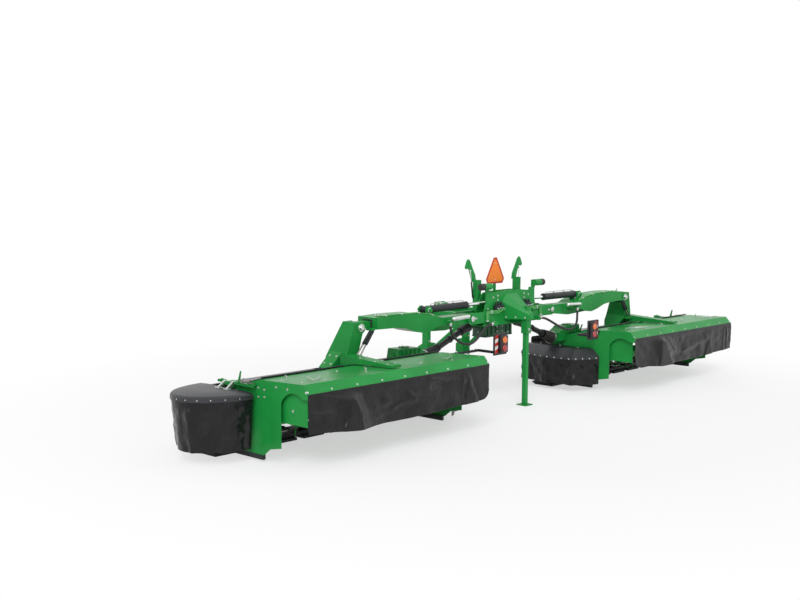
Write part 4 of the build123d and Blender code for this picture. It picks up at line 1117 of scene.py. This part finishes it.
# valve blocks on the tower with their steel lines to the fold pivots
valves = {"across": (0.225, 0.405), "rear": 0.905, "each": 3, "first": 0.255, "step": 0.060, "port": 1.352,
          "run": 1.330, "runStep": 0.015, "line": 0.0055}


def makeValveBlocks():
    bm, lines, blocks = bmesh.new(), bmesh.new(), bmesh.new()
    rear = valves["rear"]
    for hand in (1, -1):
        left, right = sorted(hand * x for x in valves["across"])
        addBox(blocks, at(left, rear, 1.335), at(right, 0.9665, 1.392), 0.004, 2)
        for i in range(valves["each"]):
            x, z = valves["first"] + i * valves["step"], valves["port"]
            addTurned(blocks, [(0.0, 0.0), (0.0, 0.017), (0.030, 0.017), (0.034, 0.012), (0.046, 0.012),
                               (0.048, 0.006), (0.048, 0.0)], at(hand * x, 0.936, 1.391), (0, 0, 1), 22)
            addTurned(bm, [(-0.002, 0.0), (-0.002, 0.013), (0.014, 0.013), (0.014, 0.009), (0.022, 0.009),
                           (0.022, 0.0)], at(hand * x, rear, z), (0, -1, 0), 6)
            run = valves["run"] - i * valves["runStep"]
            addPipe(lines, [at(hand * p, q, r) for p, q, r in (
                (x, 0.886, z), (x, 0.872, z), (x, 0.868, z - 0.010), (x + 0.010, 0.868, run), (x + 0.05, 0.872, run),
                (0.47 + 0.012 * i, 0.893, run), (0.60 - 0.016 * i, 0.895, run), (0.620 - 0.016 * i, 0.896, run - 0.006),
                (0.628 - 0.016 * i, 0.896, run - 0.03), (0.628 - 0.016 * i, 0.896, 1.200))], valves["line"])
        addBox(bm, at(hand * 0.52 - 0.008, 0.884, 1.290), at(hand * 0.52 + 0.008, 0.9145, 1.338), 0.003, 2)
        addBox(bm, at(hand * 0.612 - 0.028, 0.884, 1.192), at(hand * 0.612 + 0.028, 0.9145, 1.208), 0.003, 2)
    addPiece("valveBlocks", blocks, "black", "centre")
    addPiece("lineFittings", bm, "zinc", "centre")
    addPiece("frameLines", lines, "paleGreen", "centre")


gearbox = {"ribs": (-0.25, -0.17, 0.17, 0.25), "input": (1.170, 1.025), "output": (1.285, 1.065), "bolts": 6,
           "inputBolts": 0.070, "outputBolts": 0.076}


def makeGearbox():
    inputZ = gearbox["input"][1]
    outputY, outputZ = gearbox["output"]
    bm = bmesh.new()                                               # ribs, flanges and covers of the casting
    for x in gearbox["ribs"]:
        addBox(bm, at(x - 0.006, 1.157, 0.935), at(x + 0.006, 1.171, 1.118), 0.003, 2)
        addBox(bm, at(x - 0.006, 1.399, 0.935), at(x + 0.006, 1.413, 1.125), 0.003, 2)
    addTurned(bm, [(-0.001, 0.0), (-0.001, 0.086), (0.010, 0.086), (0.013, 0.082), (0.013, 0.058), (0.020, 0.054),
                   (0.021, 0.0)], at(0, *gearbox["input"]), (0, -1, 0), 40)
    for hand in (1, -1):
        addTurned(bm, [(-0.001, 0.060), (-0.001, 0.088), (0.014, 0.088), (0.017, 0.084), (0.017, 0.060)],
                  at(hand * 0.3, outputY, outputZ), (hand, 0, 0), 40, closed=True)
    addBox(bm, at(-0.306, 1.163, 0.926), at(0.306, 1.407, 0.944), 0.004, 2)
    addPiece("gearboxRibs", bm, "casting", "centre")
    bm = bmesh.new()
    near, far = gearbox["inputBolts"], gearbox["outputBolts"]
    for i in range(gearbox["bolts"]):
        turn = 2 * pi * (i + 0.5) / gearbox["bolts"]
        addBolt(bm, at(near * cos(turn), 1.157, inputZ + near * sin(turn)), (0, -1, 0), 0.012, 0.005)
        for hand in (1, -1):
            spot = at(hand * 0.317, outputY + far * cos(turn), outputZ + far * sin(turn))
            addBolt(bm, spot, (hand, 0, 0), 0.011, 0.005)
    addBolt(bm, at(0.20, 1.1655, 0.965), (0, -1, 0), 0.020, 0.009)
    addPiece("gearboxBolts", bm, "zinc", "centre")


# fittings that ride on the arms
armParts = {"top": [(1.59, 1.330), (1.83, 1.380), (2.00, 1.404), (2.44, 1.414), (2.76, 1.405)],
            "pipesAt": (0.915, 0.935, 0.955), "clampsAt": (1.72, 1.98, 2.30, 2.58), "liftPin": (1.71, 1.42),
            "vessel": ((1.125, 0.790, 1.312), (1.465, 0.790, 1.300), 0.0255), "vesselFeet": (1.227, 1.397)}


def makeArmFittings(side):
    pipes, clamps = bmesh.new(), bmesh.new()
    for i, y in enumerate(armParts["pipesAt"]):
        start, end = 1.66 + 0.02 * i, 2.66 + 0.03 * i
        top = between(armParts["top"], end)
        route = [at(start - 0.045, y, 1.338)]
        route += [at(x, y, between(armParts["top"], x) + 0.009)
                  for x in (start, 1.75, 1.83, 1.92, 2.0, 2.2, 2.44, end - 0.03)]
        route += [at(end, y, top + 0.010), at(end + 0.004, y, top + 0.030)]
        addPipe(pipes, route, 0.006)
        addTurned(clamps, [(-0.001, 0.0), (-0.001, 0.010), (0.012, 0.010), (0.012, 0.0075), (0.024, 0.0075),
                           (0.024, 0.0)], at(end + 0.004, y, top + 0.022), (0, 0, 1), 6)
    for x in armParts["clampsAt"]:
        top = between(armParts["top"], x)
        addBox(clamps, at(x - 0.011, 0.902, top - 0.004), at(x + 0.011, 0.968, top + 0.018), 0.003, 2)
        addBolt(clamps, at(x, 0.945, top + 0.018), (0, 0, 1), 0.010, 0.004)
    addPiece(side + "ArmLines", pipes, "paleGreen", side + "_arm", side)
    pinX, pinZ = armParts["liftPin"]                               # pin of the lift cylinder, between its two ears
    for y, way in ((0.976, -1), (1.124, 1)):
        addTurned(clamps, [(-0.001, 0.0), (-0.001, 0.029), (0.006, 0.029), (0.008, 0.026), (0.008, 0.010),
                           (0.012, 0.0)], at(pinX, y, pinZ), (0, way, 0), 28)
    start, end, radius = armParts["vessel"]
    start, end = at(*start), at(*end)
    length = (end - start).length
    addTurned(clamps, [(-0.012, 0.0), (-0.010, 0.010), (0.0, 0.010), (0.003, radius * 0.7), (0.012, radius),
                       (length - 0.012, radius),
                       (length - 0.003, radius * 0.75), (length, 0.012), (length + 0.014, 0.012),
                       (length + 0.014, 0.0)], start, end - start, 32)
    for share in (0.3, 0.8):                                       # straps of the pressure vessel
        spot = start.lerp(end, share)
        addTurned(clamps, [(-0.008, radius), (-0.008, radius + 0.003), (0.008, radius + 0.003), (0.008, radius)],
                  spot, end - start, 32, closed=True)
    addPiece(side + "ArmFittings", clamps, "zinc", side + "_arm", side)
    bm = bmesh.new()                                               # brackets of the pressure vessel
    for x in armParts["vesselFeet"]:
        addBox(bm, at(x - 0.010, 0.785, 1.272), at(x + 0.010, 0.9655, 1.288), 0.002, 1)
    addPiece(side + "VesselBrackets", bm, "green", side + "_arm", side)
    bm = bmesh.new()                                               # wiper round the mouth of the arm's box
    for low, high in (((2.7605, 0.972, 1.268), (2.774, 0.987, 1.382)), ((2.7605, 1.113, 1.268), (2.774, 1.128, 1.382)),
                      ((2.7605, 0.987, 1.268), (2.774, 1.113, 1.284)), ((2.7605, 0.987, 1.366), (2.774, 1.113, 1.382))):
        addBox(bm, at(*low), at(*high), 0.002, 2)
    addPiece(side + "TubeWiper", bm, "rubber", side + "_arm", side)
    bm = bmesh.new()                                               # gland and eye rings of the lift cylinder's barrel
    for along, outer in ((0.8750, 0.0505), (1.640, 0.0505)):
        addTurned(bm, [(0.0, 0.030), (0.0, outer - 0.002), (0.002, outer), (0.022, outer), (0.024, outer - 0.002),
                       (0.024, 0.030)], at(along, 1.05, 1.4252 if along < 1 else 1.4204), (1, 0, 0), 36)
    addPiece(side + "BarrelRings", bm, "black", side + "_barrel", side)
    bm = bmesh.new()                                               # port line along the barrel
    addPipe(bm, [at(x, 1.05, z) for x, z in ((1.600, 1.470), (1.600, 1.486), (1.585, 1.491), (1.45, 1.4905),
                                             (1.10, 1.4915), (0.955, 1.492), (0.940, 1.487), (0.940, 1.470))], 0.006)
    for x in (1.600, 0.940):
        addTurned(bm, [(-0.004, 0.0), (-0.004, 0.012), (0.006, 0.012), (0.006, 0.0)], at(x, 1.05, 1.474), (0, 0, 1), 6)
    for x in (1.40, 1.15):
        addBox(bm, at(x - 0.008, 1.038, 1.472), at(x + 0.008, 1.062, 1.499), 0.002, 1)
    addPiece(side + "PortLine", bm, "zinc", side + "_barrel", side)


# fittings that ride on the mower units: gear housing, post and hinge
unitParts = {"ribs": (1.66, 1.74, 1.82, 1.90, 1.98), "cover": (1.845, 1.285), "coverBolts": 0.058, "bolts": 6,
             "pendulum": (2.97, 0.948, 1.30), "footBolts": [(3.235, 1.10), (3.235, 1.21), (3.33, 1.10), (3.33, 1.21)]}


def makeUnitFittings(side):
    coverX, coverY = unitParts["cover"]
    bm = bmesh.new()
    for x in unitParts["ribs"]:                                    # ribs down both faces of the gear housing
        addBox(bm, at(x - 0.006, 1.172, 0.805), at(x + 0.006, 1.186, 0.905), 0.003, 2)
        addBox(bm, at(x - 0.006, 1.384, 0.805), at(x + 0.006, 1.398, 0.905), 0.003, 2)
    addTurned(bm, [(-0.001, 0.0), (-0.001, 0.072), (0.009, 0.072), (0.012, 0.068), (0.012, 0.045), (0.018, 0.041),
                   (0.019, 0.0)], at(coverX, coverY, 0.9205), (-0.026, 0, 1), 40)
    addPlate(bm, [at(2.056, 1.196, 0.800), at(2.104, 1.196, 0.800), at(2.158, 1.196, 0.905), at(2.132, 1.196, 0.914)],
             (0, 0.006, 0), 0.001)
    addPiece(side + "HousingRibs", bm, "green", side + "_unit", side)
    bm = bmesh.new()
    reach = unitParts["coverBolts"]
    for i in range(unitParts["bolts"]):
        turn = 2 * pi * i / unitParts["bolts"]
        addBolt(bm, at(coverX + reach * cos(turn), coverY + reach * sin(turn), 0.9345), (-0.029, 0, 1), 0.012, 0.005)
    # head of the pendulum pin on its ring, and the bolts of the post's foot
    addTurned(bm, [(-0.001, 0.0), (-0.001, 0.047), (0.004, 0.047), (0.006, 0.045), (0.006, 0.031), (0.024, 0.031),
                   (0.027, 0.028), (0.027, 0.011), (0.023, 0.009), (0.023, 0.0)],
              at(*unitParts["pendulum"]), (0, -1, 0), 36)
    for x, y in unitParts["footBolts"]:
        addBolt(bm, at(x, y, 1.025 - (x - 3.17) * 0.87), (0.66, 0, 0.75), 0.016, 0.007)
    for y in (0.26, 0.46, 0.70):
        for x in (3.118, 3.242):
            addBolt(bm, at(x, y, between([(0.18, 0.958), (1.01, 1.002)], y)), (0, -0.05, 1), 0.014, 0.006)
    addPiece(side + "UnitBolts", bm, "zinc", side + "_unit", side)


# front of the hitch: couplings, pins of the lower links, locks of the stands
hitchParts = {"couplings": 4, "first": -0.275, "step": 0.05, "linkPin": 0.572, "frameBolts": 0.445}


def makeHitchFittings():
    pin, frame = hitchParts["linkPin"], hitchParts["frameBolts"]
    bm, caps = bmesh.new(), bmesh.new()
    addBox(bm, at(-0.30, 2.181, 1.165), at(-0.10, 2.189, 1.235), 0.001, 1)
    for i in range(hitchParts["couplings"]):
        x = hitchParts["first"] + i * hitchParts["step"]
        addTurned(bm, [(0.0, 0.0), (0.0, 0.014), (0.012, 0.014), (0.012, 0.011), (0.040, 0.011), (0.040, 0.0)],
                  at(x, 2.189, 1.200), (0, 1, 0), 20)
        addTurned(caps, [(0.028, 0.0115), (0.028, 0.0145), (0.052, 0.0145), (0.055, 0.011), (0.055, 0.0)],
                  at(x, 2.189, 1.200), (0, 1, 0), 20)
    for hand in (1, -1):
        addRod(bm, at(hand * pin, 2.29, 0.565), at(hand * pin, 2.29, 0.640), 0.0055, segments=12)
        addRing(bm, at(hand * pin, 2.29, 0.643), 0.018, 0.002, (0, 1, 0.2))
        addRod(bm, at(hand * 0.435, 2.13, 0.660), at(hand * 0.38, 2.13, 0.660), 0.0075, segments=14, edge=0.001)
        addRing(bm, at(hand * 0.436, 2.13, 0.643), 0.018, 0.0025, (0.2, 1, 0))
        for z in (0.80, 1.10):
            addBolt(bm, at(hand * frame, 2.181, z), (0, 1, 0), 0.018)
            addBolt(bm, at(hand * frame, 2.079, z), (0, -1, 0), 0.018)
    addPiece("hitchFittings", bm, "zinc", "centre")
    addPiece("couplingCaps", caps, "redFilm", "centre")


# pairs of dampers from each sliding tube to the post of the mower unit, across the pendulum pin, fixed where they are
# made
damper = {"tops": ((2.797, 0.915, 1.262), (2.838, 0.915, 1.266)),
          "feet": ((3.028, 0.915, 0.962), (3.083, 0.915, 0.978)),
          "barrel": 0.0185, "rod": 0.0095, "share": 0.56}


def makeDampers(side):
    barrels, rods = bmesh.new(), bmesh.new()
    for top, foot in zip(damper["tops"], damper["feet"]):
        top, foot = at(*top), at(*foot)
        middle = top.lerp(foot, damper["share"])
        length = (middle - top).length
        addTurned(barrels, [(0.0, 0.0), (0.0, 0.012), (0.010, 0.012), (0.014, damper["barrel"]),
                            (length - 0.012, damper["barrel"]),
                            (length - 0.008, 0.014), (length, 0.014), (length, 0.0)], top, foot - top, 24)
        run = (foot - middle).length
        addTurned(rods, [(-0.02, 0.0), (-0.02, damper["rod"]), (run - 0.012, damper["rod"]), (run - 0.010, 0.013),
                         (run + 0.008, 0.013), (run + 0.008, 0.0)], middle, foot - middle, 20)
    for name, bm, look in (("DamperBarrels", barrels, "black"), ("DamperRods", rods, "steel")):
        piece = newPiece(side + name, bm, look, None, side)
        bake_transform(piece)
    bm = bmesh.new()
    addBox(bm, at(2.780, 0.896, 1.258), at(2.852, 0.992, 1.286), 0.003, 2)
    addPiece(side + "DamperBracket", bm, "green", side + "_slide", side)
    bm = bmesh.new()
    addBox(bm, at(3.005, 0.896, 0.946), at(3.105, 0.985, 0.984), 0.003, 2)
    for x in (3.028, 3.083):
        addBolt(bm, at(x, 0.896, 0.966), (0, -1, 0), 0.014, 0.006)
    addPiece(side + "DamperFoot", bm, "green", side + "_unit", side)


makeCentreBolts()
makeBumperCaps()
makeSignBorder()
makeHookStruts()
makeValveBlocks()
makeGearbox()
makeHitchFittings()
for side in sides:
    makeArmFittings(side)
    makeUnitFittings(side)
    makeDampers(side)
print("frame, arm and unit fittings made")
